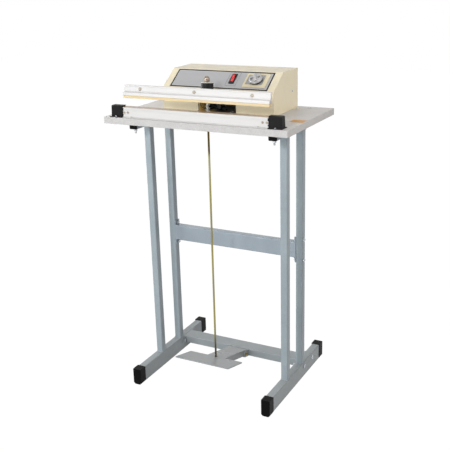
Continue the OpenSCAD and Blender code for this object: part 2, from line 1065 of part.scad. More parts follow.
// folded channel from the jaw bar to a cross tube that turns on the pivot shaft
module jaw_arm() {
  low = -5;
  tail = 13;
  color(black)
    at_rest()
      difference() {
        union() {
          translate([-arm_w / 2, arm_front, web_top - web_t])
            cube([arm_w, -arm_front + tail, web_t]);
          for (s = [-1, 1])
            along_x(s * (arm_w - web_t) / 2, web_t)
              polygon([
                [arm_front, web_top], [arm_front, low + 8], [arm_front + 30, low],
                [-14, low], [-9, -8], [9, -8], [tail, -2], [tail, web_top]
              ]);
          x_cyl(-cheek_x + cheek_t + 0.5, cheek_x - cheek_t - 0.5, 9);
        }
        x_cyl(-80, 80, shaft_d / 2 + fit);
        translate([0, swing_c, 0])
          linear_extrude(20)
            rounded(rod_d + 1.6, rod_d + 3.4, rod_r + 0.7);
      }
}

// ---------- pivot bracket ----------

module pivot_bracket() {
  y0 = front_y + 4;
  y1 = pivot_y + 34;
  color(yellow_zinc)
    difference() {
      union() {
        translate([-cheek_x, y0, table_h])
          cube([2 * cheek_x, y1 - y0, cheek_t]);
        both_sides()
          along_x(cheek_x - cheek_t / 2, cheek_t) {
            polygon([
              [y0, table_h], [y1, table_h], [y1, table_h + 30],
              [pivot_y + 14, pivot_z + 6], [pivot_y, pivot_z + 14], [pivot_y - 12, pivot_z + 6],
              [y0 + 8, table_h + 34], [y0, table_h + 26]
            ]);
            translate([pivot_y, pivot_z])
              circle(r = 14);
          }
      }
      translate([0, pivot_y, pivot_z])
        x_cyl(-80, 80, shaft_d / 2 + fit);
      for (p = bracket_bolts)
        translate([p[0], p[1], table_h - 1])
          cylinder(d = p[2] + 0.4, h = 6);
    }
}

// plain shaft with a push-on ring outside each cheek
module pivot_shaft() {
  color(bright)
    translate([0, pivot_y, pivot_z]) {
      x_cyl(-cheek_x - 6, cheek_x + 6, shaft_d / 2);
      for (s = [-1, 1])
        translate([s * (cheek_x + 1.6), 0, 0])
          x_cyl(-1.2, 1.2, shaft_d / 2 + 3);
    }
}

// limit switch under the arm, on an angle that is riveted to the bracket
module limit_switch() {
  color(black)
    translate([0, -12, table_h + cheek_t]) {
      translate([-8, -12, 0])
        cube([16, 30, 1.5]);
      translate([-8, -12, 1.5])
        cube([1.5, 30, 20]);
      translate([-6.5, -13, 8])
        cube([10, 28, 16]);
      translate([-4, 8, 24])
        cube([5, 1.2, 2.2]);
      translate([-4, -10, 25.4])
        cube([5, 19.2, 0.8]);
    }
}

// ---------- housing ----------

module house_outline(t) {
  // t is the wall taken off every side but the open bottom
  k = t * tan(face_ang / 2);
  polygon([
    [front_y + t, house_z - (t > 0 ? 1 : 0)],
    [front_y + t, face_z - t * tan(45 - face_ang / 2)],
    [front_y + slope_d + k, roof_z - t],
    [rear_y - (t > 0 ? -1 : 0), roof_z - t],
    [rear_y - (t > 0 ? -1 : 0), house_z - (t > 0 ? 1 : 0)]
  ]);
}

module housing() {
  color(cream)
    difference() {
      union() {
        difference() {
          along_x(0, house_w)
            house_outline(0);
          along_x(0, house_w - 2 * house_t)
            house_outline(house_t);
        }
        both_sides() {
          // turned-in rear flanges and the tab outside each rear foot
          translate([house_w / 2 - 12, rear_y - house_t, house_z])
            cube([12, house_t, house_h]);
          translate([house_w / 2 - 0.5, tab_y - 8, house_z])
            cube([17, 16, house_t]);
        }
        translate([-house_w / 2, rear_y - house_t, roof_z - 10])
          cube([house_w, house_t, 10]);
      }
      translate([-window_w / 2, front_y - 1, house_z - 1])
        cube([window_w, 3, house_front_h - 1]);
      on_face() {
        translate([switch_x - bezel_w / 2 + 1.5, switch_v - bezel_h / 2 + 1.5, -5])
          cube([bezel_w - 3, bezel_h - 3, 10]);
        translate([timer_x, timer_v, -5])
          cylinder(d = 12, h = 10);
      }
      both_sides() {
        translate([house_w / 2 + 10, tab_y, house_z - 1])
          cylinder(d = 4.4, h = 5);
        for (z = [14, house_h - 5])
          translate([house_w / 2 - 6, rear_y - 5, house_z + z])
            y_cyl(0, 10, 1.6);
        translate([0, rear_y - 40, house_z + 54])
          x_cyl(house_w / 2 - 5, house_w / 2 + 5, 1.6);
      }
    }
}

// flat rear panel with two rows of cooling slots and holes for the fuse and the gland
gland_x = 120;
fuse_x = 80;

module rear_panel() {
  color(cream)
    difference() {
      translate([-house_w / 2, rear_y, house_z])
        cube([house_w, house_t, house_h]);
      for (i = [0:13])
        for (z = [62, 84])
          translate([-128 + i * 13, rear_y - 1, house_z + z])
            translate([0, 4, 0])
              rotate([90, 0, 0])
                linear_extrude(5)
                  rounded(4, 16, 1.9);
      translate([gland_x, 0, house_z + 24])
        y_cyl(rear_y - 1, rear_y + 5, 7);
      translate([fuse_x, 0, house_z + 24])
        y_cyl(rear_y - 1, rear_y + 5, 6.2);
      both_sides()
        for (z = [14, house_h - 5])
          translate([house_w / 2 - 6, rear_y - 5, house_z + z])
            y_cyl(0, 10, 1.6);
    }
}

module housing_screws() {
  color(bright)
    both_sides() {
      for (z = [14, house_h - 5])
        translate([house_w / 2 - 6, rear_y + house_t, house_z + z])
          rotate([-90, 0, 0]) {
            pan_head(6, 2.2);
            translate([0, 0, -house_t - 6])
              cylinder(r = 1.6, h = house_t + 7);
          }
      translate([house_w / 2 + 10, tab_y, 0]) {
        translate([0, 0, house_z + house_t])
          pan_head(7.5, 2.6);
        translate([0, 0, pan_under - 5])
          cylinder(r = 2, h = table_t + house_t + 6.5);
      }
      translate([house_w / 2, rear_y - 40, house_z + 54])
        rotate([0, 90, 0]) {
          pan_head(5, 1.6);
          translate([0, 0, -house_t - 3])
            cylinder(r = 1.6, h = house_t + 4);
        }
    }
}

// screws and nuts that hold the bracket, the transformer and the earth lead to the table
module table_screws() {
  color(bright) {
    for (p = small_screws)
      translate([p[0], p[1], 0]) {
        translate([0, 0, table_h])
          pan_head(5.4, 1.8);
        translate([0, 0, pan_under - 4])
          cylinder(d = p[2], h = table_t + 5);
      }
    for (p = bracket_bolts)
      table_screw(p, cheek_t, 9.5, 8);
    for (p = transformer_bolts)
      table_screw(p, 2, 7.5, 7);
  }
}

// one screw through a foot of thickness grip, with a nut under the table
module table_screw(p, grip, head, nut) {
  translate([p[0], p[1], 0]) {
    translate([0, 0, table_h + grip])
      pan_head(head, head / 3);
    translate([0, 0, pan_under - 5.5])
      cylinder(d = p[2], h = table_t + grip + 6.5);
    translate([0, 0, pan_under - 4])
      hex(nut, 4);
  }
}

module cord_gland() {
  color(black)
    translate([gland_x, rear_y, house_z + 24])
      difference() {
        union() {
          y_cyl(house_t, house_t + 2.5, 9.5);
          y_cyl(-6, house_t + 12, 6.9);
          rotate([90, 0, 0])
            translate([0, 0, 0])
              hex(17, 3.5);
        }
        y_cyl(-10, house_t + 20, 4);
      }
}

module fuse_holder() {
  color(black)
    translate([fuse_x, rear_y, house_z + 24]) {
      y_cyl(-26, house_t, 6);
      y_cyl(house_t, house_t + 2, 8);
      difference() {
        y_cyl(house_t + 2, house_t + 9, 6.4);
        translate([-8, house_t + 7.5, -0.7])
          cube([16, 3, 1.4]);
      }
    }
}

module transformer() {
  translate([transformer_x, transformer_y, table_h]) {
    color([0.30, 0.31, 0.33])
      translate([-30, -26, 6]) {
        difference() {
          cube([60, 52, 50]);
          translate([10, -1, 10])
            cube([10, 54, 30]);
          translate([40, -1, 10])
            cube([10, 54, 30]);
        }
      }
    color(bright)
      for (s = [-1, 1])
        translate([s * 36 - 8, -10, 0])
          difference() {
            union() {
              cube([16, 20, 2]);
              translate([s < 0 ? 14 : 0, 0, 0])
                cube([2, 20, 30]);
            }
            translate([8, 10, -1])
              cylinder(d = 4.4, h = 5);
          }
    color([0.30, 0.31, 0.33])
      translate([-30, -26, 2])
        cube([60, 52, 4]);
  }
}

module transformer_coil() {
  color([0.78, 0.66, 0.30])
    translate([transformer_x, transformer_y, table_h + 6])
      difference() {
        translate([-19.8, -36, 10.2])
          cube([39.6, 72, 29.6]);
        translate([-10.2, -26.2, 5])
          cube([20.4, 52.4, 40]);
      }
}

// ---------- controls ----------

module control_panel() {
  color([0.72, 0.73, 0.74])
    on_face()
      difference() {
        translate([-panel_w / 2, (face_len - panel_h) / 2, 0])
          cube([panel_w, panel_h, panel_t]);
        translate([switch_x - bezel_w / 2 + 1.5, switch_v - bezel_h / 2 + 1.5, -1])
          cube([bezel_w - 3, bezel_h - 3, 10]);
        translate([timer_x, timer_v, -1])
          cylinder(d = 12, h = 10);
      }
}

module switch_bezel() {
  color(black)
    on_face()
      translate([switch_x, switch_v, 0])
        difference() {
          union() {
            translate([0, 0, panel_t])
              linear_extrude(2)
                rounded(bezel_w, bezel_h, 2);
            translate([-bezel_w / 2 + 1.8, -bezel_h / 2 + 1.8, -16])
              cube([bezel_w - 3.6, bezel_h - 3.6, 16 + panel_t]);
          }
          translate([-rocker_w / 2 - 0.4, -rocker_h / 2 - 1.2, -9])
            cube([rocker_w + 0.8, rocker_h + 2.4, 20]);
          translate([0, 0, rocker_z])
            x_cyl(-rocker_w / 2 - 1.4, rocker_w / 2 + 1.4, 1.5 + fit);
        }
}

rocker_z = 0.5;
rocker_throw = 9;

// red key with two sloping faces on a cross pin, resting with its lower end down
module rocker() {
  half = rocker_h / 2;
  color([0.85, 0.10, 0.08])
    on_face()
      translate([switch_x, switch_v, rocker_z]) {
        rotate([rocker_throw, 0, 0])
          along_x(0, rocker_w)
            polygon([
              [-half, 3.8], [-half + 1, 4.8], [0, 2.9], [half - 1, 4.8], [half, 3.8],
              [half - 2, -1.5], [4, -5], [-4, -5], [-half + 2, -1.5]
            ]);
        x_cyl(-rocker_w / 2 - 1.2, rocker_w / 2 + 1.2, 1.5);
      }
}

module timer_frame() {
  color(cream)
    on_face()
      translate([timer_x, timer_v, panel_t])
        difference() {
          linear_extrude(2)
            rounded(timer_w, timer_h, 2.5);
          translate([0, 0, -1])
            cylinder(d = 12, h = 10);
          translate([-3.2, 3, 1.2])
            linear_extrude(2)
              rounded(timer_w - 18.5, timer_h - 16, 1);
        }
}

module timer_module() {
  color(black)
    on_face()
      translate([timer_x, timer_v, 0])
        difference() {
          union() {
            translate([-24, -20, -30])
              cube([48, 40, 26]);
            translate([0, 0, -4])
              cylinder(d = 11.6, h = 4 + panel_t + 3.4);
          }
          translate([0, 0, -20])
            cylinder(r = 3 + fit, h = 40);
        }
}

// skirted knob with a grip bar between two finger hollows, and its own spindle
module timer_knob() {
  base = panel_t + 4.6;
  top = base + 13.8;
  color([0.78, 0.79, 0.80])
    on_face()
      translate([timer_x, timer_v, 0])
        rotate([0, 0, knob_turn]) {
          difference() {
            union() {
              translate([0, 0, base])
                cylinder(d = knob_d, h = 2.4);
              translate([0, 0, base + 2.4])
                cylinder(d = knob_d - 2.4, h = 1);
              translate([0, 0, base + 3.4])
                cylinder(d1 = knob_d - 3, d2 = knob_d - 5.6, h = 9.2);
              translate([0, 0, top - 1.2])
                cylinder(d1 = knob_d - 5.6, d2 = knob_d - 8, h = 1.2);
            }
            for (s = [-1, 1])
              intersection() {
                translate([0, 0, top - 5.5])
                  cylinder(d = knob_d - 14, h = 10);
                translate([s * (knob_d / 4 + 3.2) - knob_d / 4, -knob_d / 2, top - 6])
                  cube([knob_d / 2, knob_d, 12]);
              }
            translate([-0.8, knob_d / 2 - 10, top - 1])
              cube([1.6, 5.4, 6]);
          }
          translate([0, 0, -15])
            cylinder(r = 3, h = base + 15.5);
        }
}

// timer board on four posts behind the right side of the window
module circuit_board() {
  color([0.10, 0.35, 0.18])
    translate([board_x, board_y, table_h])
      difference() {
        translate([0, 0, 12])
          cube([board_w, board_d, 1.6]);
        for (x = [5, board_w - 5])
          for (y = [5, board_d - 5])
            translate([x, y, 0])
              cylinder(d = 3, h = 20);
      }
}

module board_posts() {
  color(bright)
    translate([board_x, board_y, table_h])
      for (x = [5, board_w - 5])
        for (y = [5, board_d - 5])
          translate([x, y, 0]) {
            hex(6, 12);
            translate([0, 0, 12])
              cylinder(d = 2.8, h = 1.6);
            translate([0, 0, 13.6])
              pan_head(5.4, 1.8);
          }
}

base_tube_left();
base_tube_right();
base_end_caps();
leg_front_left();
leg_front_right();
leg_rear_left();
leg_rear_right();
top_rail_left();
top_rail_right();
rail_plugs();
rail_studs();
middle_crossbar();
middle_crossbar_bolts();
lower_crossbar();
lower_crossbar_bolts();
pedal();
hinge_bolt();
pull_rod();
rod_nuts();
rod_buffer();
buffer_ring();
buffer_washer();
acorn_nut();
table_top();
table_screws();
rod_bush();
return_spring();
lower_jaw();
jaw_shims();
insulation_strip();
heating_ribbon();
release_tape();
lower_jaw_screws();
terminal_blocks();
end_cover_left();
end_cover_right();
cover_screws();
upper_jaw();
silicone_strip();
jaw_bar();
jaw_screws();
jaw_arm();
pivot_bracket();
pivot_shaft();
limit_switch();
housing();
rear_panel();
housing_screws();
cord_gland();
fuse_holder();
transformer();
transformer_coil();
control_panel();
switch_bezel();
rocker();
timer_frame();
timer_module();
timer_knob();
circuit_board();
board_posts();
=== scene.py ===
import math

import bpy
from mathutils import Matrix, Vector


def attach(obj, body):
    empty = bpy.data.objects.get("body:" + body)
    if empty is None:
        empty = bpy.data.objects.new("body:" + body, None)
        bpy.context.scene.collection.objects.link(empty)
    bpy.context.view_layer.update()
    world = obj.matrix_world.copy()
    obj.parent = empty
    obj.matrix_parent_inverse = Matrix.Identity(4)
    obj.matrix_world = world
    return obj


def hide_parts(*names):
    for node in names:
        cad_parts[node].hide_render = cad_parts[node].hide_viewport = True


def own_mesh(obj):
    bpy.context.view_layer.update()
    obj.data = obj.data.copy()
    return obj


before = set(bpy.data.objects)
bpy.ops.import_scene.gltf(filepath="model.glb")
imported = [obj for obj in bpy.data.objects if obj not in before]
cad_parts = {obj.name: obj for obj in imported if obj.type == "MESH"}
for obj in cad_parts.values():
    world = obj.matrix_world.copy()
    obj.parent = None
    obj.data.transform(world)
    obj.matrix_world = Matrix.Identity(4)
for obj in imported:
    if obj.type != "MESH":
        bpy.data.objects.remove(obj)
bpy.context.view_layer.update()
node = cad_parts
bpy.ops.object.select_all(action="DESELECT")

# ---------------------------------------------------------------------------
# Camera: a lens a little longer than normal, some way off in front, to the
# operator's right and above the machine, looking down at it.
# ---------------------------------------------------------------------------
yaw, pitch, roll = (math.radians(a) for a in (28.03, -18.47, -1.6))
ahead = Vector((-math.sin(yaw) * math.cos(pitch), math.cos(yaw) * math.cos(pitch), math.sin(pitch)))
level = Vector((math.cos(yaw), math.sin(yaw), 0))
upward = level.cross(ahead)
cam_x = level * math.cos(roll) + upward * math.sin(roll)
cam_y = upward * math.cos(roll) - level * math.sin(roll)
eye = (1.09655, -2.07211, 1.28336)
focal_px, frame_px, sensor = 797.74, 450, 36.0
lens = bpy.data.cameras.new("studio_camera")
lens.sensor_width = sensor
lens.lens = focal_px / frame_px * sensor
lens.clip_end = 50
camera = bpy.data.objects.new("studio_camera", lens)
camera.matrix_world = Matrix.Translation(eye) @ Matrix(
    ((cam_x.x, cam_y.x, -ahead.x, 0),
     (cam_x.y, cam_y.y, -ahead.y, 0),
     (cam_x.z, cam_y.z, -ahead.z, 0),
     (0, 0, 0, 1)))
bpy.context.scene.collection.objects.link(camera)
bpy.context.scene.camera = camera

# ---------------------------------------------------------------------------
# Studio: a white floor that keeps the contact shadow, a white surround that the
# camera and the metal see, one key lamp in front, soft fill from both sides and
# above, and a small lamp that reaches into the gap between the jaws.
# ---------------------------------------------------------------------------
bpy.context.scene.view_settings.view_transform = "Standard"
surround = bpy.data.worlds.new("studio_surround")
bpy.context.scene.world = surround
surround.use_nodes = True
w_tree = surround.node_tree
w_tree.nodes.clear()


def put(tree, kind, feeds=(), **settings):
    """Adds a node; feeds lists (input, value or the socket that feeds it)."""
    made = tree.nodes.new(kind)
    for key, value in settings.items():
        setattr(made, key, value)
    for slot, source in feeds:
        if isinstance(source, bpy.types.NodeSocket):
            tree.links.new(source, made.inputs[slot])
        else:
            made.inputs[slot].default_value = source
    return made


def calc(tree, operation, *values):
    return put(tree, "ShaderNodeMath", enumerate(values), operation=operation).outputs[0]


def seen(tree):
    """The kinds of ray, and a value that is 1 where the camera or a reflection sees the surface."""
    path = put(tree, "ShaderNodeLightPath").outputs
    return path, calc(tree, "MAXIMUM", path["Is Camera Ray"], path["Is Glossy Ray"])


w_path, w_direct = seen(w_tree)
w_share = calc(w_tree, "MAXIMUM", w_direct, w_path["Is Transmission Ray"])
w_fill = put(w_tree, "ShaderNodeBackground", (("Color", (1.0, 0.975, 0.945, 1)), ("Strength", 0.33)))
w_white = put(w_tree, "ShaderNodeBackground", (("Color", (1, 1, 1, 1)), ("Strength", 1.0)))
w_mix = put(w_tree, "ShaderNodeMixShader", (("Fac", w_share), (1, w_fill.outputs[0]), (2, w_white.outputs[0])))
put(w_tree, "ShaderNodeOutputWorld", (("Surface", w_mix.outputs[0]),))

floor_size, floor_z = 14, -0.0004
floor_white = 0.93  # how much of the floor is plain white to the camera; the rest takes the shadow
bpy.ops.mesh.primitive_plane_add(size=floor_size, location=(0, 0, floor_z))
floor = bpy.context.object
floor.name = "studio_floor"
floor_paint = bpy.data.materials.new("studio_floor")
floor_paint.use_nodes = True
f_tree = floor_paint.node_tree
f_tree.nodes.clear()
f_share = calc(f_tree, "MULTIPLY", seen(f_tree)[1], floor_white)
f_shade = put(f_tree, "ShaderNodeBsdfDiffuse", (("Color", (0.55, 0.55, 0.55, 1)),))
f_white = put(f_tree, "ShaderNodeEmission", (("Color", (1, 1, 1, 1)), ("Strength", 1.07)))
f_mix = put(f_tree, "ShaderNodeMixShader", (("Fac", f_share), (1, f_shade.outputs[0]), (2, f_white.outputs[0])))
put(f_tree, "ShaderNodeOutputMaterial", (("Surface", f_mix.outputs[0]),))
floor.data.materials.append(floor_paint)


def studio_lamp(name, place, target, size, power, tint):
    data = bpy.data.lights.new(name, "AREA")
    data.shape = "DISK"
    data.size = size
    data.energy = power
    data.color = tint
    lamp = bpy.data.objects.new(name, data)
    lamp.location = place
    lamp.rotation_euler = (Vector(target) - Vector(place)).to_track_quat("-Z", "Y").to_euler()
    bpy.context.scene.collection.objects.link(lamp)


studio_lamp("key_lamp", (0.05, -3.0, 1.88), (0, 0, 0.6), 0.4, 32, (1, 0.995, 0.98))
studio_lamp("low_fill", (-1.0, -2.9, 0.94), (0, 0, 0.80), 1.2, 23, (0.95, 0.98, 1))
studio_lamp("left_fill", (-2.4, -2.0, 1.4), (0, 0, 0.6), 1.6, 16.5, (0.86, 0.95, 1))
studio_lamp("right_fill", (1.15, -0.30, 1.35), (0.15, 0, 0.95), 0.6, 4.8, (1, 0.98, 0.95))
studio_lamp("top_fill", (0.1, 0.2, 3.4), (0, 0, 0.5), 2.2, 9.6, (1, 1, 1))
studio_lamp("gap_fill", (-0.62, -0.14, 0.895), (-0.10, -0.045, 0.882), 0.10, 1.4, (1, 0.98, 0.93))
studio_lamp("left_rear_fill", (-1.0, 0.25, 1.35), (-0.2, -0.05, 0.86), 0.6, 3.0, (1, 1, 1))

# ---------------------------------------------------------------------------
# Stand tubes: two flat base tubes, four square legs and two top rails, drawn
# steel welded into side frames and dipped in light blue-grey enamel, greyer on
# the base. A bead of weld runs round each end of each leg, under the enamel.
# ---------------------------------------------------------------------------
def rgb(red, green, blue):
    """A colour written as screen values from 0 to 255, as the shader wants it."""
    screen = (red, green, blue)
    return tuple((v / 255 / 12.92) if v < 11 else ((v / 255 + 0.055) / 1.055) ** 2.4 for v in screen) + (1.0,)


def shader_group(name, inputs, outputs):
    tree = bpy.data.node_groups.new(name, "ShaderNodeTree")
    for label, kind, value in inputs:
        socket = tree.interface.new_socket(label, in_out="INPUT", socket_type=kind)
        if value is not None:
            socket.default_value = value
    for label, kind in outputs:
        tree.interface.new_socket(label, in_out="OUTPUT", socket_type=kind)
    return tree, tree.nodes.new("NodeGroupInput").outputs, tree.nodes.new("NodeGroupOutput").inputs


def span(tree, value, low, high, to_low=0.0, to_high=1.0):
    """Maps a value's run between low and high onto another run, and holds it at both ends."""
    return put(tree, "ShaderNodeMapRange", (("Value", value), ("From Min", low), ("From Max", high),
                                            ("To Min", to_low), ("To Max", to_high))).outputs[0]


def blend(tree, share, under, over):
    return put(tree, "ShaderNodeMix", ((0, share), (6, under), (7, over)), data_type="RGBA").outputs[2]


def vector_calc(tree, operation, *values):
    made = put(tree, "ShaderNodeVectorMath", enumerate(values), operation=operation)
    return made.outputs["Value" if operation == "DOT_PRODUCT" else "Vector"]


def split(tree, vector):
    return put(tree, "ShaderNodeSeparateXYZ", ((0, vector),)).outputs


# fine grain and broad clouding, stretched where the metal was drawn or brushed
surface_grain, g_in, g_out = shader_group(
    "surface_grain",
    (("Vector", "NodeSocketVector", None), ("Stretch", "NodeSocketVector", (1, 1, 1)),
     ("Fine Scale", "NodeSocketFloat", 900.0), ("Broad Scale", "NodeSocketFloat", 12.0)),
    (("Fine", "NodeSocketFloat"), ("Broad", "NodeSocketFloat")))
g_drawn = vector_calc(surface_grain, "MULTIPLY", g_in["Vector"], g_in["Stretch"])
g_fine = put(surface_grain, "ShaderNodeTexNoise",
             (("Vector", g_drawn), ("Scale", g_in["Fine Scale"]), ("Detail", 2.0)))
g_broad = put(surface_grain, "ShaderNodeTexNoise",
              (("Vector", g_drawn), ("Scale", g_in["Broad Scale"]), ("Detail", 3.0), ("Roughness", 0.6)))
surface_grain.links.new(g_fine.outputs["Fac"], g_out["Fine"])
surface_grain.links.new(g_broad.outputs["Fac"], g_out["Broad"])

# rounded look of a cut edge, and the broken line along it: where the finish has rubbed, and on some finishes a painted
# highlight along the edge
soft_edge, e_in, e_out = shader_group(
    "soft_edge",
    (("Vector", "NodeSocketVector", None), ("Width", "NodeSocketFloat", 0.0006),
     ("Break Scale", "NodeSocketFloat", 90.0), ("Wear And Glint", "NodeSocketFloat", 0.3)),
    (("Worn And Lit Edge", "NodeSocketFloat"), ("Normal", "NodeSocketVector")))
e_round = put(soft_edge, "ShaderNodeBevel", (("Radius", e_in["Width"]),), samples=4)
e_plain = put(soft_edge, "ShaderNodeNewGeometry")
e_turn = vector_calc(soft_edge, "DOT_PRODUCT", e_round.outputs[0], e_plain.outputs["Normal"])
e_noise = put(soft_edge, "ShaderNodeTexNoise",
              (("Vector", e_in["Vector"]), ("Scale", e_in["Break Scale"]), ("Detail", 3.0)))
e_mask = calc(soft_edge, "MULTIPLY", span(soft_edge, e_turn, 0.99, 0.86),
              span(soft_edge, e_noise.outputs["Fac"], 0.5, 0.62))
soft_edge.links.new(calc(soft_edge, "MULTIPLY", e_mask, e_in["Wear And Glint"]), e_out["Worn And Lit Edge"])
soft_edge.links.new(e_round.outputs[0], e_out["Normal"])

# thin dust that settles on whatever faces up, and on some finishes a painted sheen that greys what faces up
settled_dust_and_sheen, d_in, d_out = shader_group(
    "settled_dust_and_sheen",
    (("Vector", "NodeSocketVector", None), ("Amount", "NodeSocketFloat", 0.1)),
    (("Dust And Sheen", "NodeSocketFloat"),))
d_up = split(settled_dust_and_sheen, put(settled_dust_and_sheen, "ShaderNodeNewGeometry").outputs["Normal"])["Z"]
d_noise = put(settled_dust_and_sheen, "ShaderNodeTexNoise",
              (("Vector", d_in["Vector"]), ("Scale", 34.0), ("Detail", 5.0), ("Roughness", 0.65)))
d_lie = calc(settled_dust_and_sheen, "MULTIPLY", span(settled_dust_and_sheen, d_up, 0.55, 0.98),
             span(settled_dust_and_sheen, d_noise.outputs["Fac"], 0.3, 0.75))
settled_dust_and_sheen.links.new(calc(settled_dust_and_sheen, "MULTIPLY", d_lie, d_in["Amount"]), d_out["Dust And Sheen"])
dust_and_sheen_tone = (206, 202, 194)


def finish(name, colour, shade, rough, metal=0.0, fine=900.0, broad=12.0, stretch=(1, 1, 1), relief=0.00002,
           speckle=0.05, rough_span=0.08, wear_and_glint_colour=(150, 150, 148), wear_and_glint=0.0, soften=0.0006, dust_and_sheen=0.0, coat=0.0, level=0.5):
    """A surface: colour and shade are its lighter and darker clouding; wear_and_glint_colour goes along its edges, as
    the metal or plastic under worn edges, and on some finishes as a painted highlight.
    """
    made = bpy.data.materials.new(name)
    made.use_nodes = True
    tree = made.node_tree
    shader = tree.nodes["Principled BSDF"]
    shader.inputs["Metallic"].default_value = metal
    shader.inputs["Coat Weight"].default_value = coat
    shader.inputs["Coat Roughness"].default_value = 0.12
    shader.inputs["Specular IOR Level"].default_value = level
    coords = put(tree, "ShaderNodeTexCoord")
    coords.name = "coords"
    place = coords.outputs["Object"]
    grain = put(tree, "ShaderNodeGroup", (("Vector", place), ("Stretch", stretch), ("Fine Scale", fine),
                                          ("Broad Scale", broad)), node_tree=surface_grain).outputs
    edge = put(tree, "ShaderNodeGroup", (("Vector", place), ("Width", soften), ("Wear And Glint", wear_and_glint)),
               node_tree=soft_edge).outputs
    dust_and_sheen_out = put(tree, "ShaderNodeGroup", (("Vector", place), ("Amount", dust_and_sheen)), node_tree=settled_dust_and_sheen).outputs
    tone = blend(tree, span(tree, grain["Broad"], 0.3, 0.7), rgb(*shade), rgb(*colour))
    speck = span(tree, grain["Fine"], 0.3, 0.7, 1 - speckle, 1 + speckle)
    # along the edges: worn finish, and on some finishes a painted highlight
    rubbed_and_lit = blend(tree, edge["Worn And Lit Edge"], vector_calc(tree, "MULTIPLY", tone, speck), rgb(*wear_and_glint_colour))
    rubbed_and_lit.node.name = "rubbed_and_lit"
    tree.links.new(blend(tree, dust_and_sheen_out["Dust And Sheen"], rubbed_and_lit, rgb(*dust_and_sheen_tone)), shader.inputs["Base Color"])
    gloss = span(tree, grain["Broad"], 0.3, 0.7, max(0.02, rough - rough_span / 2), min(1.0, rough + rough_span / 2))
    tree.links.new(calc(tree, "MULTIPLY_ADD", dust_and_sheen_out["Dust And Sheen"], 0.3, gloss), shader.inputs["Roughness"])
    height = calc(tree, "ADD", grain["Fine"], 0.0)
    height.node.name = "height"
    bump = put(tree, "ShaderNodeBump", (("Strength", 1.0), ("Distance", relief), ("Height", height),
                                        ("Normal", edge["Normal"])))
    bump.name = "bump"
    tree.links.new(bump.outputs[0], shader.inputs["Normal"])
    return made


def dress(material, *names):
    for name in names:
        for slot in node[name].material_slots:
            slot.material = material


tube_look = dict(fine=260, broad=9, relief=0.000035, speckle=0.035, wear_and_glint=0.22, dust_and_sheen=0.10, level=0.35)
enamel = finish("blue_grey_enamel", (163, 175, 181), (152, 164, 171), 0.34, wear_and_glint_colour=(104, 108, 110), **tube_look)
dress(enamel, "leg_front_left", "leg_front_right", "leg_rear_left", "leg_rear_right", "top_rail_left", "top_rail_right")
base_enamel = finish("base_tube_enamel", (161, 168, 172), (149, 156, 160), 0.34, wear_and_glint_colour=(104, 106, 106), **tube_look)
dress(base_enamel, "base_tube_left", "base_tube_right")


def start(add, name, **sizes):
    """Adds a primitive with nothing else selected."""
    bpy.ops.object.select_all(action="DESELECT")
    add(**sizes)
    piece = bpy.context.object
    piece.name = piece.data.name = name
    return piece


def pick(*pieces):
    """Selects these pieces only, and makes the first one active."""
    bpy.ops.object.select_all(action="DESELECT")
    for piece in pieces:
        piece.select_set(True)
    bpy.context.view_layer.objects.active = pieces[0]


def join(pieces, name):
    pick(*pieces)
    bpy.ops.object.join()
    whole = bpy.context.object
    whole.name = whole.data.name = name
    return whole


def give(piece, material, body):
    piece.data.materials.clear()
    piece.data.materials.append(material)
    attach(piece, body)


leg_size, leg_corner = 0.022, 0.0025
leg_x, leg_y, leg_ends = (-0.2245, 0.2245), (-0.065, 0.0515), (0.0515, 0.8135)
weld_size, weld_ripple = 0.0013, 0.0012
bumps = bpy.data.textures.new("weld_bumps", "CLOUDS")
bumps.noise_scale = 0.003
beads = []
for spot in [(x, y, z) for x in leg_x for y in leg_y for z in leg_ends]:
    bead = start(bpy.ops.mesh.primitive_plane_add, "bead", size=leg_size, location=spot)
    bpy.ops.object.mode_set(mode="EDIT")
    bpy.ops.mesh.bevel(offset=leg_corner, segments=4, affect="VERTICES")
    bpy.ops.mesh.select_all(action="SELECT")
    bpy.ops.mesh.delete(type="ONLY_FACE")
    bpy.ops.mesh.select_all(action="SELECT")
    bpy.ops.mesh.subdivide(number_cuts=3)
    bpy.ops.object.mode_set(mode="OBJECT")
    bpy.ops.object.transform_apply(location=True, rotation=True, scale=True)
    bpy.ops.object.convert(target="CURVE")
    bead.data.bevel_depth = weld_size
    bead.data.bevel_resolution = 2
    bpy.ops.object.convert(target="MESH")
    ripple = bead.modifiers.new("ripple", "DISPLACE")
    ripple.texture = bumps
    ripple.strength = weld_ripple
    bpy.ops.object.modifier_apply(modifier="ripple")
    beads.append(bead)
welds = join(beads, "leg_welds")
bpy.ops.object.shade_smooth()
give(welds, enamel, "stand")

# ---------------------------------------------------------------------------
# Plugs: black polypropylene caps pushed into the ends of the base tubes, where
# they are the stand's feet, and into the ends of the top rails.
# ---------------------------------------------------------------------------
cap_black = finish("black_cap_plastic", (10, 10, 10), (6, 6, 6), 0.46, fine=700, relief=0.00003, speckle=0.10,
                   wear_and_glint_colour=(44, 44, 45), wear_and_glint=0.30, dust_and_sheen=0.02, level=0.06)
dress(cap_black, "base_end_caps", "rail_plugs")

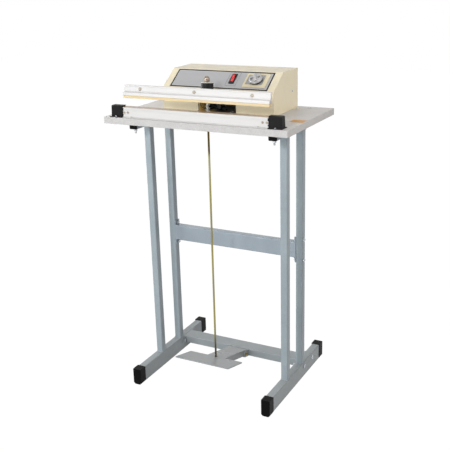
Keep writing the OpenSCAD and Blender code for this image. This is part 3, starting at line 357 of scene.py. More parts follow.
# ---------------------------------------------------------------------------
# Bolts of the stand: zinc-plated steel, four through each crossbar's ends and a
# threaded stud with a nut under each end of the rails, holding the table.
# ---------------------------------------------------------------------------
thread_ridges, t_in, t_out = shader_group(
    "thread_ridges",
    (("Vector", "NodeSocketVector", None), ("Centre", "NodeSocketVector", (0, 0, 0)),
     ("Pitch", "NodeSocketFloat", 0.001), ("Low", "NodeSocketFloat", 0.0), ("High", "NodeSocketFloat", 1.0)),
    (("Height", "NodeSocketFloat"), ("Root Shade", "NodeSocketFloat")))
t_x, t_y, t_z = split(thread_ridges, vector_calc(thread_ridges, "SUBTRACT", t_in["Vector"], t_in["Centre"]))
t_turn = calc(thread_ridges, "MULTIPLY", calc(thread_ridges, "ARCTAN2", t_y, t_x), 1 / (2 * math.pi))
t_rise = calc(thread_ridges, "SUBTRACT", calc(thread_ridges, "DIVIDE", t_z, t_in["Pitch"]), t_turn)
t_tall = calc(thread_ridges, "MULTIPLY", calc(thread_ridges, "PINGPONG", t_rise, 0.5), 2.0)
t_here = calc(thread_ridges, "MULTIPLY", calc(thread_ridges, "GREATER_THAN", t_z, t_in["Low"]),
              calc(thread_ridges, "LESS_THAN", t_z, t_in["High"]))
t_root_shade = span(thread_ridges, t_tall, 0.45, 0.0)
thread_ridges.links.new(calc(thread_ridges, "MULTIPLY", t_tall, t_here), t_out["Height"])
thread_ridges.links.new(calc(thread_ridges, "MULTIPLY", t_root_shade, t_here), t_out["Root Shade"])


def place_on(tree):
    return tree.nodes["coords"].outputs["Object"]


def cut_thread(material, centre, pitch, low, high, depth, root_shade):
    """Adds a screw thread's ridges, and painted shade along their roots, to a material round a vertical axis."""
    tree = material.node_tree
    ridges = put(tree, "ShaderNodeGroup", (("Vector", place_on(tree)), ("Centre", centre),
                                           ("Pitch", pitch), ("Low", low), ("High", high)),
                 node_tree=thread_ridges).outputs
    taken = put(tree, "ShaderNodeBump", (("Strength", 1.0), ("Distance", depth), ("Height", ridges["Height"]),
                                         ("Normal", tree.nodes["bump"].outputs[0])))
    tree.links.new(taken.outputs[0], tree.nodes["Principled BSDF"].inputs["Normal"])
    # painted shade along the thread's roots
    dark = blend(tree, ridges["Root Shade"], tree.nodes["rubbed_and_lit"].outputs[2], rgb(*root_shade))
    for joined in [k for k in tree.links if k.from_node == tree.nodes["rubbed_and_lit"] and k.to_node != dark.node]:
        tree.links.new(dark, joined.to_socket)


zinc = finish("clear_zinc_plate", (205, 208, 212), (176, 180, 186), 0.27, metal=1.0, fine=1400, broad=60,
              relief=0.000006, speckle=0.04, rough_span=0.14, wear_and_glint_colour=(150, 152, 154), wear_and_glint=0.15, soften=0.0003)
dress(zinc, "middle_crossbar_bolts", "lower_crossbar_bolts")
stud_zinc = finish("stud_zinc_plate", (200, 202, 205), (166, 168, 172), 0.30, metal=1.0, fine=1400, broad=60,
                   relief=0.000006, speckle=0.04, rough_span=0.14, soften=0.0003)
dress(stud_zinc, "rail_studs")

# ---------------------------------------------------------------------------
# Crossbars: a flat bar across the rear legs, and a lower one near the floor that
# carries the pedal's ears and has the base tubes' enamel. Both are bolted through
# the tubes.
# ---------------------------------------------------------------------------
bar_enamel = finish("crossbar_enamel", (163, 174, 184), (151, 162, 172), 0.32, fine=260, broad=7, relief=0.00003,
                    speckle=0.03, wear_and_glint_colour=(104, 108, 110), wear_and_glint=0.18, dust_and_sheen=0.04, level=0.4)
dress(bar_enamel, "middle_crossbar")
dress(base_enamel, "lower_crossbar")

# ---------------------------------------------------------------------------
# Pedal: a folded steel plate on a narrow arm, enamelled, on one yellow-plated
# bolt through the lower crossbar's ears. Its enamel is worn along the edges.
# ---------------------------------------------------------------------------
pedal_enamel = finish("pedal_enamel", (158, 162, 165), (144, 148, 151), 0.33, fine=300, broad=16, relief=0.00003,
                      speckle=0.05, rough_span=0.2, wear_and_glint_colour=(120, 122, 122), wear_and_glint=0.45, dust_and_sheen=0.08, level=0.4)
dress(pedal_enamel, "pedal")
hinge_gold = finish("yellow_bolt_plate", (186, 160, 98), (150, 124, 74), 0.34, metal=1.0, fine=900, broad=80,
                    relief=0.000008, speckle=0.06, rough_span=0.16, wear_and_glint_colour=(120, 112, 96), wear_and_glint=0.3, soften=0.0003)
dress(hinge_gold, "hinge_bolt")

# ---------------------------------------------------------------------------
# Pull rod: a 6 mm steel rod with a yellow passivated plate, threaded at both
# ends; nuts under and over the pedal's plate, and over the upper jaw's arm a
# ribbed rubber buffer, a dished washer and a nickel-plated dome nut.
# ---------------------------------------------------------------------------
rod_plate = finish("rod_yellow_plate", (176, 168, 112), (128, 118, 70), 0.30, metal=1.0, fine=600, broad=26,
                   stretch=(1, 1, 0.08), relief=0.000006, speckle=0.10, rough_span=0.18, soften=0.0003)
rod_y, thread_pitch, thread_top = -0.098, 0.001, 0.1035
# the last colour is painted shade along the thread's roots
cut_thread(rod_plate, (0, rod_y, 0), thread_pitch, 0.0, thread_top, 0.00035, (70, 62, 36))


def base_colour(tree):
    return tree.nodes["Principled BSDF"].inputs["Base Color"]


def lay_over(tree, share, colour):
    """Lays a colour over a finish as far as share says."""
    tree.links.new(blend(tree, share, base_colour(tree).links[0].from_socket, rgb(*colour)), base_colour(tree))


# painted shade on the rod at its foot by the pedal and in a band under the table, clean between them, plain silver from
# the table up
rod_tree = rod_plate.node_tree
rod_z = split(rod_tree, place_on(rod_tree))["Z"]
rod_shade_run = put(rod_tree, "ShaderNodeValToRGB", (("Fac", rod_z),))
rod_shade_run.color_ramp.elements[0].position = 0.085
rod_shade_run.color_ramp.elements[0].color = rgb(128, 112, 84)
rod_shade_run.color_ramp.elements[1].position = 0.17
for at, shade in ((0.738, (255, 255, 255)), (0.756, (124, 108, 92)), (0.850, (132, 118, 100))):
    rod_shade_run.color_ramp.elements.new(at).color = rgb(*shade)
rod_painted_shade = vector_calc(rod_tree, "MULTIPLY", base_colour(rod_tree).links[0].from_socket, rod_shade_run.outputs["Color"])
rod_tree.links.new(rod_painted_shade, base_colour(rod_tree))
lay_over(rod_tree, span(rod_tree, rod_z, 0.853, 0.858), (204, 202, 196))
dress(rod_plate, "pull_rod")
nut_plate = finish("nut_yellow_plate", (170, 158, 104), (132, 120, 76), 0.33, metal=1.0, fine=900, broad=90,
                   relief=0.000008, speckle=0.06, rough_span=0.16, wear_and_glint=0.2, soften=0.0003)
dress(nut_plate, "rod_nuts")
buffer_rubber = finish("buffer_rubber", (16, 16, 17), (10, 10, 11), 0.50, fine=800, relief=0.00004, speckle=0.16,
                       wear_and_glint_colour=(60, 60, 60), wear_and_glint=0.2, soften=0.0004, dust_and_sheen=0.03, level=0.25)
dress(buffer_rubber, "rod_buffer")
washer_tin = finish("tinned_washer", (226, 222, 212), (206, 202, 190), 0.42, metal=0.25, fine=1400, broad=80,
                    relief=0.000006, speckle=0.03, rough_span=0.1, soften=0.0003)
dress(washer_tin, "buffer_ring", "buffer_washer")
nickel = finish("polished_nickel", (144, 132, 121), (110, 98, 88), 0.22, metal=1.0, fine=1600, broad=120,
                relief=0.000003, speckle=0.02, rough_span=0.06, soften=0.0004)
dress(nickel, "acorn_nut")

# ---------------------------------------------------------------------------
# Table top: one steel sheet folded down on all sides, powder-coated light grey
# with a fine speckle. A plastic bush guides the rod; zinc screws hold the bracket
# and the transformer. A bare orange tin plate is stuck near the corner.
# ---------------------------------------------------------------------------
# the near-white laid along the folded edges is a painted highlight
table_coat = finish("table_powder_coat", (201, 199, 198), (191, 188, 187), 0.55, fine=340, broad=26, relief=0.00006,
                    speckle=0.085, rough_span=0.1, wear_and_glint_colour=(244, 244, 244), wear_and_glint=0.9, soften=0.0018, dust_and_sheen=0.06, coat=0.1,
                    level=0.8)
dress(table_coat, "table_top")
dress(zinc, "table_screws")
bush_black = finish("black_bush_plastic", (30, 30, 33), (22, 22, 24), 0.38, fine=700, relief=0.00002, speckle=0.08)
dress(bush_black, "rod_bush")


def plate(name, width, height, corner, thick, border=0.0):
    """A sheet with rounded corners lying on z = 0; with a border, only a frame of that width is left."""
    piece = start(bpy.ops.mesh.primitive_plane_add, name, size=1, location=(0, 0, 0))
    bpy.ops.object.mode_set(mode="EDIT")
    bpy.ops.transform.resize(value=(width, height, 1))
    if corner:
        bpy.ops.mesh.bevel(offset=corner, segments=5, affect="VERTICES")
        bpy.ops.mesh.select_all(action="SELECT")
    if border:
        bpy.ops.mesh.inset(thickness=border, use_boundary=True)
        bpy.ops.mesh.delete(type="FACE")
        bpy.ops.mesh.select_all(action="SELECT")
    bpy.ops.mesh.extrude_region_move(TRANSFORM_OT_translate={"value": (0, 0, thick)})
    bpy.ops.mesh.select_all(action="SELECT")
    bpy.ops.mesh.normals_make_consistent(inside=False)
    bpy.ops.object.mode_set(mode="OBJECT")
    return piece


def settle(piece, turn, place):
    """Turns a finished piece, moves it to its place and leaves its object at the origin."""
    piece.matrix_world = Matrix.Translation(place) @ turn
    pick(piece)
    bpy.ops.object.transform_apply(location=True, rotation=True, scale=True)


def round_edges(piece, width, segments, least_turn):
    rim = piece.modifiers.new("rim", "BEVEL")
    rim.width = width
    rim.segments = segments
    rim.limit_method = "ANGLE"
    rim.angle_limit = math.radians(least_turn)
    pick(piece)
    bpy.ops.object.modifier_apply(modifier="rim")


table_z = 0.856
corner_plate = plate("corner_plate", 0.041, 0.033, 0.0006, 0.0003)
round_edges(corner_plate, 0.00012, 2, 30)
settle(corner_plate, Matrix.Rotation(math.radians(-1.0), 4, "Z"), (0.2668, -0.0705, table_z))
tin_orange = finish("orange_tin_plate", (212, 158, 84), (200, 144, 72), 0.42, level=0.15, fine=500, broad=40,
                    relief=0.00002, speckle=0.06, rough_span=0.14, wear_and_glint_colour=(232, 214, 190), wear_and_glint=0.7, soften=0.0003)
give(corner_plate, tin_orange, "stand")

# ---------------------------------------------------------------------------
# Return spring: 1.5 mm zinc-plated wire wound in eight turns round the rod, with
# closed ends, between the bush and the arm.
# ---------------------------------------------------------------------------
wire, coil_r, spring_low, spring_high = 0.00075, 0.0063, 0.8584, 0.9213


def coil(name, low, pitch, turns):
    """Wire wound upwards from one height, its round section swept by the Screw modifier."""
    piece = start(bpy.ops.mesh.primitive_circle_add, name, vertices=10, radius=wire, location=(0, 0, 0))
    bpy.ops.object.mode_set(mode="EDIT")
    bpy.ops.transform.rotate(value=math.radians(90), orient_axis="X", center_override=(0, 0, 0))
    bpy.ops.transform.translate(value=(coil_r, 0, 0))
    bpy.ops.object.mode_set(mode="OBJECT")
    wind = piece.modifiers.new("wind", "SCREW")
    wind.axis = "Z"
    wind.angle = math.radians(360)
    wind.screw_offset = pitch
    wind.iterations = turns
    wind.steps = wind.render_steps = 28
    wind.use_merge_vertices = False
    bpy.ops.object.modifier_apply(modifier="wind")
    settle(piece, Matrix(), (0, rod_y, low))
    return piece


closed, open_turns = 2 * wire * 1.02, 6  # a closed turn's rise, and the turns between the closed ones
first = coil("wire_foot", spring_low + wire, closed, 1)
open_rise = (spring_high - spring_low - 2 * wire - 2 * closed) / open_turns
middle = coil("wire_middle", spring_low + wire + closed, open_rise, open_turns)
last = coil("wire_head", spring_high - wire - closed, closed, 1)
spring = join((first, middle, last), "return_spring_wire")
bpy.ops.object.mode_set(mode="EDIT")
bpy.ops.mesh.select_all(action="SELECT")
bpy.ops.mesh.remove_doubles(threshold=0.00002)
bpy.ops.mesh.select_all(action="DESELECT")
bpy.ops.mesh.select_non_manifold()
bpy.ops.mesh.fill_holes(sides=12)
bpy.ops.mesh.select_all(action="SELECT")
bpy.ops.mesh.normals_make_consistent(inside=False)
bpy.ops.object.mode_set(mode="OBJECT")
bpy.ops.object.shade_smooth_by_angle(angle=math.radians(50))
spring_plate = finish("spring_wire_plate", (198, 200, 204), (150, 152, 158), 0.25, metal=1.0, fine=900, broad=140,
                      relief=0.000006, speckle=0.06, rough_span=0.12, soften=0.0002)
give(spring, spring_plate, "stand")
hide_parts("return_spring")
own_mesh(spring)

# ---------------------------------------------------------------------------
# Lower jaw: a sawn aluminium extrusion, satin anodised, screwed to the table on
# two shims. On it lie an insulating strip, the heating ribbon and a brown
# non-stick cloth; the ribbon's ends drop into brass blocks under black covers.
# ---------------------------------------------------------------------------
jaw_metal = finish("satin_anodised_jaw", (214, 212, 211), (204, 202, 201), 0.50, metal=0.2, fine=420, broad=18,
                   stretch=(0.03, 1, 1), relief=0.000010, speckle=0.022, rough_span=0.08, wear_and_glint_colour=(250, 250, 250),
                   wear_and_glint=0.2, soften=0.0005)
dress(jaw_metal, "lower_jaw", "upper_jaw")
dress(zinc, "jaw_shims", "cover_screws")
laminate = finish("brown_laminate", (132, 92, 58), (108, 74, 46), 0.55, fine=900, broad=70, speckle=0.12,
                  stretch=(0.2, 1, 1))
dress(laminate, "insulation_strip")
ribbon_alloy = finish("ribbon_alloy", (164, 158, 148), (130, 124, 116), 0.34, metal=1.0, fine=700, broad=30,
                      stretch=(0.05, 1, 1), relief=0.000006, speckle=0.08)
dress(ribbon_alloy, "heating_ribbon")
cloth = finish("brown_release_cloth", (176, 150, 120), (150, 124, 96), 0.34, fine=900, broad=30, relief=0.00004,
               speckle=0.06, rough_span=0.12, coat=0.35)


def bands(tree, scale, way):
    """Fine straight ridges that repeat along X or Y."""
    return put(tree, "ShaderNodeTexWave", (("Vector", place_on(tree)), ("Scale", scale)), wave_type="BANDS",
               bands_direction=way).outputs["Fac"]


weave = calc(cloth.node_tree, "MAXIMUM", bands(cloth.node_tree, 900.0, "X"), bands(cloth.node_tree, 900.0, "Y"))
cloth.node_tree.links.new(weave, cloth.node_tree.nodes["height"].inputs[1])
dress(cloth, "release_tape")
brass = finish("turned_brass", (204, 168, 96), (176, 138, 74), 0.28, metal=1.0, fine=900, broad=60, relief=0.000006,
               speckle=0.05)
dress(brass, "terminal_blocks")
cover_black = finish("black_cover_plastic", (18, 17, 17), (12, 11, 11), 0.46, fine=520, broad=30, relief=0.00005,
                     speckle=0.14, rough_span=0.12, wear_and_glint_colour=(66, 64, 62), wear_and_glint=0.35, soften=0.0009, dust_and_sheen=0.10, level=0.12)
dress(cover_black, "end_cover_left", "end_cover_right")

# ---------------------------------------------------------------------------
# Upper jaw: a stepped aluminium extrusion with a rolled lower edge, a pale
# silicone strip pressed into its groove, and three screws into a black steel
# bar behind it.
# ---------------------------------------------------------------------------
strip_silicone = finish("pale_silicone", (238, 217, 174), (228, 204, 156), 0.60, level=0.3, fine=500, broad=12,
                        stretch=(0.2, 1, 1), relief=0.00002, speckle=0.02, soften=0.0006)


def let_light_in(material, share, reach):
    """Lets light into a translucent piece; reach is how far its red, green and blue go."""
    shader = material.node_tree.nodes["Principled BSDF"]
    shader.inputs["Subsurface Weight"].default_value = share
    shader.inputs["Subsurface Radius"].default_value = reach


let_light_in(strip_silicone, 0.25, (0.004, 0.003, 0.0015))
dress(strip_silicone, "silicone_strip")
screw_nickel = finish("dull_nickel_screw", (184, 176, 162), (158, 150, 137), 0.46, metal=0.8, fine=1400, broad=120,
                      relief=0.000006, speckle=0.05, rough_span=0.12, soften=0.0003)
dress(screw_nickel, "jaw_screws", "lower_jaw_screws")
black_paint = finish("black_steel_paint", (34, 34, 36), (24, 24, 26), 0.36, fine=420, broad=20, relief=0.00003,
                     speckle=0.08, wear_and_glint_colour=(120, 120, 120), wear_and_glint=0.35, dust_and_sheen=0.08, coat=0.2)
dress(black_paint, "jaw_bar", "jaw_arm")

# ---------------------------------------------------------------------------
# Pivot: a folded steel bracket with a yellow plate, painted dark brown as shade under
# the arm and further in, bolted to the table inside the housing; a ground shaft
# across it, and the limit switch under the arm.
# ---------------------------------------------------------------------------
bracket_gold = finish("bracket_yellow_plate", (234, 204, 132), (214, 180, 106), 0.44, metal=0.2, fine=500, broad=22,
                      relief=0.00001, speckle=0.07, rough_span=0.2, wear_and_glint_colour=(150, 140, 112), wear_and_glint=0.3)
bracket_tree = bracket_gold.node_tree
bracket_at = split(bracket_tree, place_on(bracket_tree))
shade_under_arm = span(bracket_tree, bracket_at["X"], -0.040, -0.014)
shade_further_in = span(bracket_tree, bracket_at["Y"], -0.006, 0.006)
# painted shade: the bracket goes dark brown under the arm and further in
lay_over(bracket_tree, calc(bracket_tree, "MAXIMUM", shade_under_arm, shade_further_in), (44, 35, 24))
dress(bracket_gold, "pivot_bracket")
ground = finish("ground_shaft_steel", (186, 188, 192), (160, 162, 166), 0.22, metal=1.0, fine=900, broad=50,
                stretch=(1, 0.1, 0.1), relief=0.000005, speckle=0.05)
dress(ground, "pivot_shaft")
switch_case = finish("black_switch_case", (36, 34, 34), (26, 25, 25), 0.44, fine=700, speckle=0.10, wear_and_glint=0.2,
                     wear_and_glint_colour=(80, 78, 76))
dress(switch_case, "limit_switch")

# ---------------------------------------------------------------------------
# Housing: a cream powder-coated steel case folded over the table, closed by a
# vented rear panel; a black gland and a fuse holder are in the panel.
# ---------------------------------------------------------------------------
# the paler cream along the edges is a painted highlight, and the heavy grey on the top and slope is dust and mostly a
# painted sheen
cream_coat = finish("cream_powder_coat", (243, 231, 199), (235, 222, 189), 0.40, fine=420, broad=10, relief=0.00004,
                    speckle=0.03, rough_span=0.1, wear_and_glint_colour=(248, 243, 226), wear_and_glint=0.35, soften=0.0014, dust_and_sheen=0.85, coat=0.12,
                    level=0.75)
dress(cream_coat, "housing", "rear_panel")
dress(zinc, "housing_screws")
dress(bush_black, "cord_gland", "fuse_holder")

# ---------------------------------------------------------------------------
# Electric parts: the transformer's varnished laminations and taped coil on the
# left, a circuit board on four posts on the right, and black leads from the
# limit switch over the bracket to both of them.
# ---------------------------------------------------------------------------
core = finish("varnished_core", (72, 70, 70), (48, 46, 46), 0.42, fine=600, speckle=0.1, broad=40, coat=0.2)
core.node_tree.links.new(bands(core.node_tree, 320.0, "Y"), core.node_tree.nodes["height"].inputs[1])
core.node_tree.nodes["bump"].inputs["Distance"].default_value = 0.0001
dress(core, "transformer")
tape = finish("yellow_coil_tape", (214, 190, 104), (190, 162, 78), 0.30, fine=500, speckle=0.05, broad=60, coat=0.4)
dress(tape, "transformer_coil")
resist = finish("green_board", (30, 104, 58), (20, 84, 44), 0.30, fine=300, broad=160, speckle=0.2, coat=0.5)
dress(resist, "circuit_board")
dress(zinc, "board_posts")
lead_cover = finish("black_lead_cover", (18, 17, 17), (11, 10, 10), 0.45, fine=900, speckle=0.08)
lead_runs = (
    ("lead_to_transformer", ((-0.0065, -0.021, 0.8745), (-0.0115, -0.0238, 0.8742), (-0.018, -0.0282, 0.8728),
                             (-0.025, -0.0324, 0.8706), (-0.0325, -0.0354, 0.8686), (-0.0405, -0.0366, 0.8674),
                             (-0.0473, -0.0368, 0.8679), (-0.0528, -0.0368, 0.8708), (-0.0564, -0.0368, 0.8758),
                             (-0.058, -0.0368, 0.8818), (-0.0599, -0.0366, 0.8872), (-0.0642, -0.036, 0.8913),
                             (-0.07, -0.034, 0.8926), (-0.0765, -0.0292, 0.891), (-0.0835, -0.021, 0.8878),
                             (-0.091, -0.01, 0.885), (-0.098, 0.003, 0.8846), (-0.104, 0.016, 0.8864),
                             (-0.109, 0.028, 0.8882), (-0.112, 0.0375, 0.8885))),
    ("lead_to_board", ((0.0035, -0.019, 0.8745), (0.008, -0.0205, 0.8752), (0.016, -0.0255, 0.8785),
                       (0.027, -0.030, 0.8832), (0.039, -0.0330, 0.8872), (0.051, -0.0345, 0.8892),
                       (0.062, -0.034, 0.8896), (0.070, -0.029, 0.888), (0.0775, -0.019, 0.8848),
                       (0.0835, -0.007, 0.8815), (0.088, 0.006, 0.8785), (0.0915, 0.018, 0.8762),
                       (0.094, 0.029, 0.8742), (0.0955, 0.036, 0.8716))),
    ("lead_across", ((-0.0065, -0.016, 0.8705), (-0.0115, -0.0184, 0.871), (-0.0185, -0.0226, 0.8732),
                     (-0.026, -0.0272, 0.8766), (-0.0335, -0.0306, 0.8792), (-0.041, -0.0324, 0.8806),
                     (-0.048, -0.0329, 0.8818), (-0.054, -0.0329, 0.8844), (-0.0592, -0.0326, 0.8886),
                     (-0.0648, -0.0313, 0.892), (-0.0715, -0.0276, 0.893), (-0.0785, -0.0206, 0.8908),
                     (-0.0855, -0.0106, 0.8874), (-0.0925, 0.001, 0.8846), (-0.099, 0.013, 0.8832),
                     (-0.1045, 0.025, 0.8828), (-0.1085, 0.0375, 0.883))),
)


def soft_line(run):
    """The points of a run and one more between each two, on a smooth curve through them."""
    points = []
    for k in range(len(run) - 1):
        a, b, c, d = (Vector(run[max(0, min(len(run) - 1, k + j))]) for j in (-1, 0, 1, 2))
        for t in (0.0, 0.5):
            points.append(0.5 * (2 * b + (c - a) * t + (2 * a - 5 * b + 4 * c - d) * t * t
                                 + (3 * b - a - 3 * c + d) * t ** 3))
    return points + [Vector(run[-1])]


lead_size = 0.0019
for name, run in lead_runs:
    shape = bpy.data.curves.new(name, "CURVE")
    shape.dimensions = "3D"
    shape.resolution_u = 6
    shape.bevel_depth = lead_size / 2
    shape.bevel_resolution = 3
    shape.use_fill_caps = True
    line = shape.splines.new("POLY")
    smooth = soft_line(run)
    line.points.add(len(smooth) - 1)
    for point, spot in zip(line.points, smooth):
        point.co = (*spot, 1)
    lead = bpy.data.objects.new(name, shape)
    bpy.context.scene.collection.objects.link(lead)
    give(lead, lead_cover, "stand")
    long = sum((q - p).length for p, q in zip(smooth, smooth[1:]))

# ---------------------------------------------------------------------------
# Control panel: a brushed foil plate on the sloping face with a printed black
# edge line and a fine pale line inside it, and a thin outline round the switch.
# The rest of the foil is bare.
# ---------------------------------------------------------------------------
face_turn = Matrix.Rotation(math.radians(34.651), 4, "X")
face_foot = Vector((0, -0.042, 0.9253))


def on_face(x, v, h):
    """Where a point of the sloping face is: across, up the slope and out of it."""
    return face_foot + face_turn.to_3x3() @ Vector((x, v, h))


foil = finish("brushed_foil", (178, 178, 180), (168, 168, 171), 0.48, metal=0.25, fine=700, broad=10,
              stretch=(0.02, 1, 1), relief=0.000006, speckle=0.03, rough_span=0.08, soften=0.0003)
dress(foil, "control_panel")
ink = finish("black_print", (26, 25, 24), (20, 19, 18), 0.45, level=0.2, fine=900, speckle=0.08)
pale_ink = finish("pale_print", (222, 222, 218), (214, 214, 210), 0.40, fine=900, speckle=0.03)
panel_v, foil_top = 0.0413, 0.0008
switch_x, switch_v = 0.036, 0.046
for name, width, height, corner, thick, border, x, v, paint, slot in (
        ("panel_edge_line", 0.3176, 0.0746, 0.0004, 0.00006, 0.0042, 0, panel_v, ink, "switch_black"),
        ("panel_inner_line", 0.3080, 0.0650, 0.0004, 0.00005, 0.0006, 0, panel_v, pale_ink, "panel_foil"),
        ("switch_outline", 0.034, 0.056, 0.003, 0.00006, 0.0006, switch_x, switch_v - 0.0005, ink, "switch_black")):
    line = plate(name, width, height, corner, thick, border)
    settle(line, face_turn, on_face(x, v, foil_top))
    give(line, paint, "stand")

# ---------------------------------------------------------------------------
# Power switch: a glossy black snap-in bezel with a red rocker on a cross pin. The
# rocker is a red lens, its edges painted near-black as the shade in the gap round
# it; its line and ring are moulded in and filled with pale paint.
# ---------------------------------------------------------------------------
bezel_black = finish("glossy_bezel", (16, 14, 14), (12, 10, 10), 0.26, fine=900, speckle=0.05, soften=0.0005,
                     level=0.35)
dress(bezel_black, "switch_bezel")
key_red = finish("red_key", (246, 26, 22), (228, 16, 14), 0.18, fine=600, broad=60, speckle=0.04, soften=0.0004,
                 coat=0.5)
key_tree = key_red.node_tree
lens_half_w, lens_half_l = 0.0040, 0.0117
up_slope = face_turn.to_3x3() @ Vector((0, 1, 0))
key_off = vector_calc(key_tree, "SUBTRACT", place_on(key_tree), tuple(on_face(switch_x, switch_v, 0.0)))
key_reach = ((split(key_tree, key_off)["X"], lens_half_w),
             (vector_calc(key_tree, "DOT_PRODUCT", key_off, tuple(up_slope)), lens_half_l))
gap_shade = [calc(key_tree, "GREATER_THAN", calc(key_tree, "ABSOLUTE", off), half) for off, half in key_reach]
# painted shade: the key goes near-black past the red area, as the gap round it
lay_over(key_tree, calc(key_tree, "MAXIMUM", *gap_shade), (22, 20, 20))
let_light_in(key_red, 0.2, (0.003, 0.0006, 0.0004))
dress(key_red, "rocker")
key_paint = finish("key_mark_paint", (242, 104, 92), (234, 92, 82), 0.40, fine=900, speckle=0.04)
key_turn = face_turn @ Matrix.Rotation(math.radians(9), 4, "X")  # its tilt at rest
half_slope, key_high, pin_high = 8.32, 0.0029, 0.0005  # each half of the key rises outwards from the pin
mark_v, sunk = 0.0072, 0.0001
key_line = plate("key_line", 0.0009, 0.0040, 0.0002, 0.00016)
key_ring = plate("key_ring", 0.0038, 0.0038, 0.0018, 0.00016, border=0.0006)
for mark, side in ((key_line, 1), (key_ring, -1)):
    height = key_high + mark_v * math.tan(math.radians(half_slope)) - sunk
    spot = on_face(switch_x, switch_v, pin_high) + key_turn.to_3x3() @ Vector((0, side * mark_v, height))
    settle(mark, key_turn @ Matrix.Rotation(math.radians(side * half_slope), 4, "X"), spot)
    give(mark, key_paint, "switch_key")

# ---------------------------------------------------------------------------
# Timer: a cream moulded frame, a grey scale plate in its recess with ticks and
# plain numbers, and a knob with a silver-lacquered cap: a raised grip bar between
# two finger hollows, and a pale line filled in on the bar. The knob's lowest faces,
# under its skirt, are painted near-black as shade.
# ---------------------------------------------------------------------------
timer_cream = finish("cream_moulding", (226, 215, 184), (218, 206, 172), 0.42, fine=600, relief=0.00002, speckle=0.02,
                     soften=0.0006)
dress(timer_cream, "timer_frame")
dress(switch_case, "timer_module")
timer_x, timer_v = 0.112, 0.042
plate_h, marks_h, timer_top = 0.00202, 0.00223, 0.0054
scale_w, scale_l, scale_x, scale_v = 0.0531, 0.0396, -0.0032, 0.003
scale_plate = plate("timer_scale_plate", scale_w, scale_l, 0.0008, 0.0002)
settle(scale_plate, face_turn, on_face(timer_x + scale_x, timer_v + scale_v, plate_h))
scale_grey = finish("grey_scale_plate", (172, 171, 172), (162, 161, 163), 0.42, fine=700, speckle=0.04,
                    stretch=(0.1, 1, 1))
give(scale_plate, scale_grey, "stand")
ticks, sweep, tick_foot, tick_room, margin = 21, 270, 0.0204, 0.0225, 0.0008
tick_w, tick_long, tick_short, ink_high = 0.0005, 0.0018, 0.0010, 0.00008
marks = []
for step in range(ticks):
    turn = math.radians(sweep / (ticks - 1) * step - sweep / 2)
    out = Vector((math.sin(turn), math.cos(turn), 0))
    if (abs(out.x * tick_room - scale_x) > scale_w / 2 - margin
            or abs(out.y * tick_room - scale_v) > scale_l / 2 - margin):
        continue  # past the plate's edge
    long = tick_long if step % 4 == 0 else tick_short
    tick = plate("tick", tick_w, long, 0.0, ink_high)
    settle(tick, Matrix.Rotation(-turn, 4, "Z"), out * (tick_foot + long / 2))
    marks.append(tick)
for digit, x, v in (("1", -0.0262, -0.0136), ("2", -0.0270, 0.0016), ("3", -0.0236, 0.0192), ("4", 0.0194, 0.0192)):
    number = start(bpy.ops.object.text_add, "number", location=(x, v, 0))
    number.data.body = digit
    number.data.size = 0.0040
    number.data.align_x = "CENTER"
    number.data.align_y = "CENTER"
    number.data.extrude = ink_high / 2
    bpy.ops.object.convert(target="MESH")
    bpy.ops.object.transform_apply(location=True, rotation=True, scale=True)
    marks.append(bpy.context.object)
scale_marks = join(marks, "timer_scale_marks")
settle(scale_marks, face_turn, on_face(timer_x, timer_v, marks_h))
give(scale_marks, ink, "stand")
knob_silver = finish("silver_knob_lacquer", (184, 183, 184), (164, 163, 165), 0.38, metal=0.35, fine=500, broad=60,
                     relief=0.000006, speckle=0.04, rough_span=0.1, soften=0.0004)
# Radius and height over the frame of each step of the knob's skirt and flat body, from the foot up. Known fault: the
# first extrude takes the whole disc, and later ones take old edges and sloping rings along with the top face, so a
# disc and walls are left inside, and the outer form is up to 0.5 mm wider than these rows say.
knob_steps = ((0.0196, 0.0010), (0.0199, 0.0014), (0.0199, 0.0029), (0.0194, 0.0030), (0.0196, 0.0034),
              (0.0195, 0.0046), (0.0189, 0.0053), (0.0174, 0.0056), (0.0170, 0.0060), (0.0168, 0.0074),
              (0.0162, 0.0080))
was_r, was_h = knob_steps[0]
knob = start(bpy.ops.mesh.primitive_cylinder_add, "turned_knob", vertices=96, radius=was_r, depth=was_h,
             location=(0, 0, was_h / 2))
bpy.ops.object.transform_apply(location=True, rotation=True, scale=True)
for r, h in knob_steps[1:]:
    for face in knob.data.polygons:
        face.select = face.normal.z > 0.9 and face.center.z > was_h - 0.0001
    bpy.ops.object.mode_set(mode="EDIT")
    bpy.ops.mesh.select_mode(type="FACE")
    bpy.ops.mesh.extrude_region_move(TRANSFORM_OT_translate={"value": (0, 0, h - was_h)})
    bpy.ops.transform.resize(value=(r / was_r, r / was_r, 1))
    bpy.ops.object.mode_set(mode="OBJECT")
    was_r, was_h = r, h
knob_foot_shade = finish("knob_foot_painted_shade", (14, 14, 14), (9, 9, 9), 0.42, fine=700, relief=0.00002, speckle=0.1,
                    soften=0.0003, level=0.1)
foot_high = 0.00298
knob.data.materials.append(knob_silver)
knob.data.materials.append(knob_foot_shade)
# painted shade: the faces below foot_high, under the skirt, take near-black
for face in knob.data.polygons:
    face.material_index = 1 if face.center.z < foot_high else 0


def cut_or_join(piece, tool, kind):
    """Cuts a tool's shape out of a piece, or joins it on, and drops the tool."""
    step = piece.modifiers.new(kind.lower(), "BOOLEAN")
    step.operation = kind
    step.solver = "EXACT"
    step.object = tool
    pick(piece)
    bpy.ops.object.modifier_apply(modifier=step.name)
    bpy.data.objects.remove(tool)


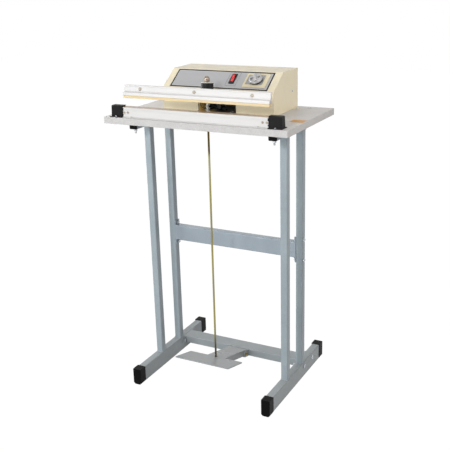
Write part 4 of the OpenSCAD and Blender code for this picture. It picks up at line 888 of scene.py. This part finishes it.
hollow_r, hollow_x, hollow_z, hollow_l = 0.0052, 0.0104, 0.0082, 0.009
for x in (-hollow_x, hollow_x):
    pocket = start(bpy.ops.mesh.primitive_cylinder_add, "pocket", vertices=48, radius=hollow_r, depth=hollow_l,
                   location=(x, 0, hollow_z))
    bpy.ops.object.transform_apply(location=True, rotation=True, scale=True)
    cut_or_join(knob, pocket, "DIFFERENCE")
grip_w, grip_l, grip_h, grip_foot = 0.0122, 0.0336, 0.0118, 0.0020
grip_corner, grip_taper = 0.0050, (0.78, 0.95, 1)
grip = start(bpy.ops.mesh.primitive_cube_add, "grip", size=1, location=(0, 0, 0))
bpy.ops.object.mode_set(mode="EDIT")
bpy.ops.transform.resize(value=(grip_w, grip_l, grip_h))
bpy.ops.transform.translate(value=(0, 0, grip_foot + grip_h / 2))
bpy.ops.object.mode_set(mode="OBJECT")
for edge in grip.data.edges:
    ends = [grip.data.vertices[k].co for k in edge.vertices]
    edge.select = abs(ends[0].z - ends[1].z) > 0.005
bpy.ops.object.mode_set(mode="EDIT")
bpy.ops.mesh.select_mode(type="EDGE")
bpy.ops.mesh.bevel(offset=grip_corner, segments=6)
bpy.ops.object.mode_set(mode="OBJECT")
for face in grip.data.polygons:
    face.select = face.normal.z > 0.9
bpy.ops.object.mode_set(mode="EDIT")
bpy.ops.mesh.select_mode(type="FACE")
bpy.ops.transform.resize(value=grip_taper)
bpy.ops.object.mode_set(mode="OBJECT")
cut_or_join(knob, grip, "UNION")
round_edges(knob, 0.00045, 3, 50)
bpy.ops.object.shade_smooth_by_angle(angle=math.radians(40))
knob_turn = face_turn @ Matrix.Rotation(math.radians(24), 4, "Z")
settle(knob, knob_turn, on_face(timer_x, timer_v, timer_top))
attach(knob, "timer_dial")
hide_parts("timer_knob")
knob_line = plate("knob_line", 0.0010, 0.0050, 0.0003, 0.0002)
line_spot = knob_turn.to_3x3() @ Vector((0, 0.0108, grip_foot + grip_h - sunk))
settle(knob_line, knob_turn, on_face(timer_x, timer_v, timer_top) + line_spot)
give(knob_line, pale_ink, "timer_dial")
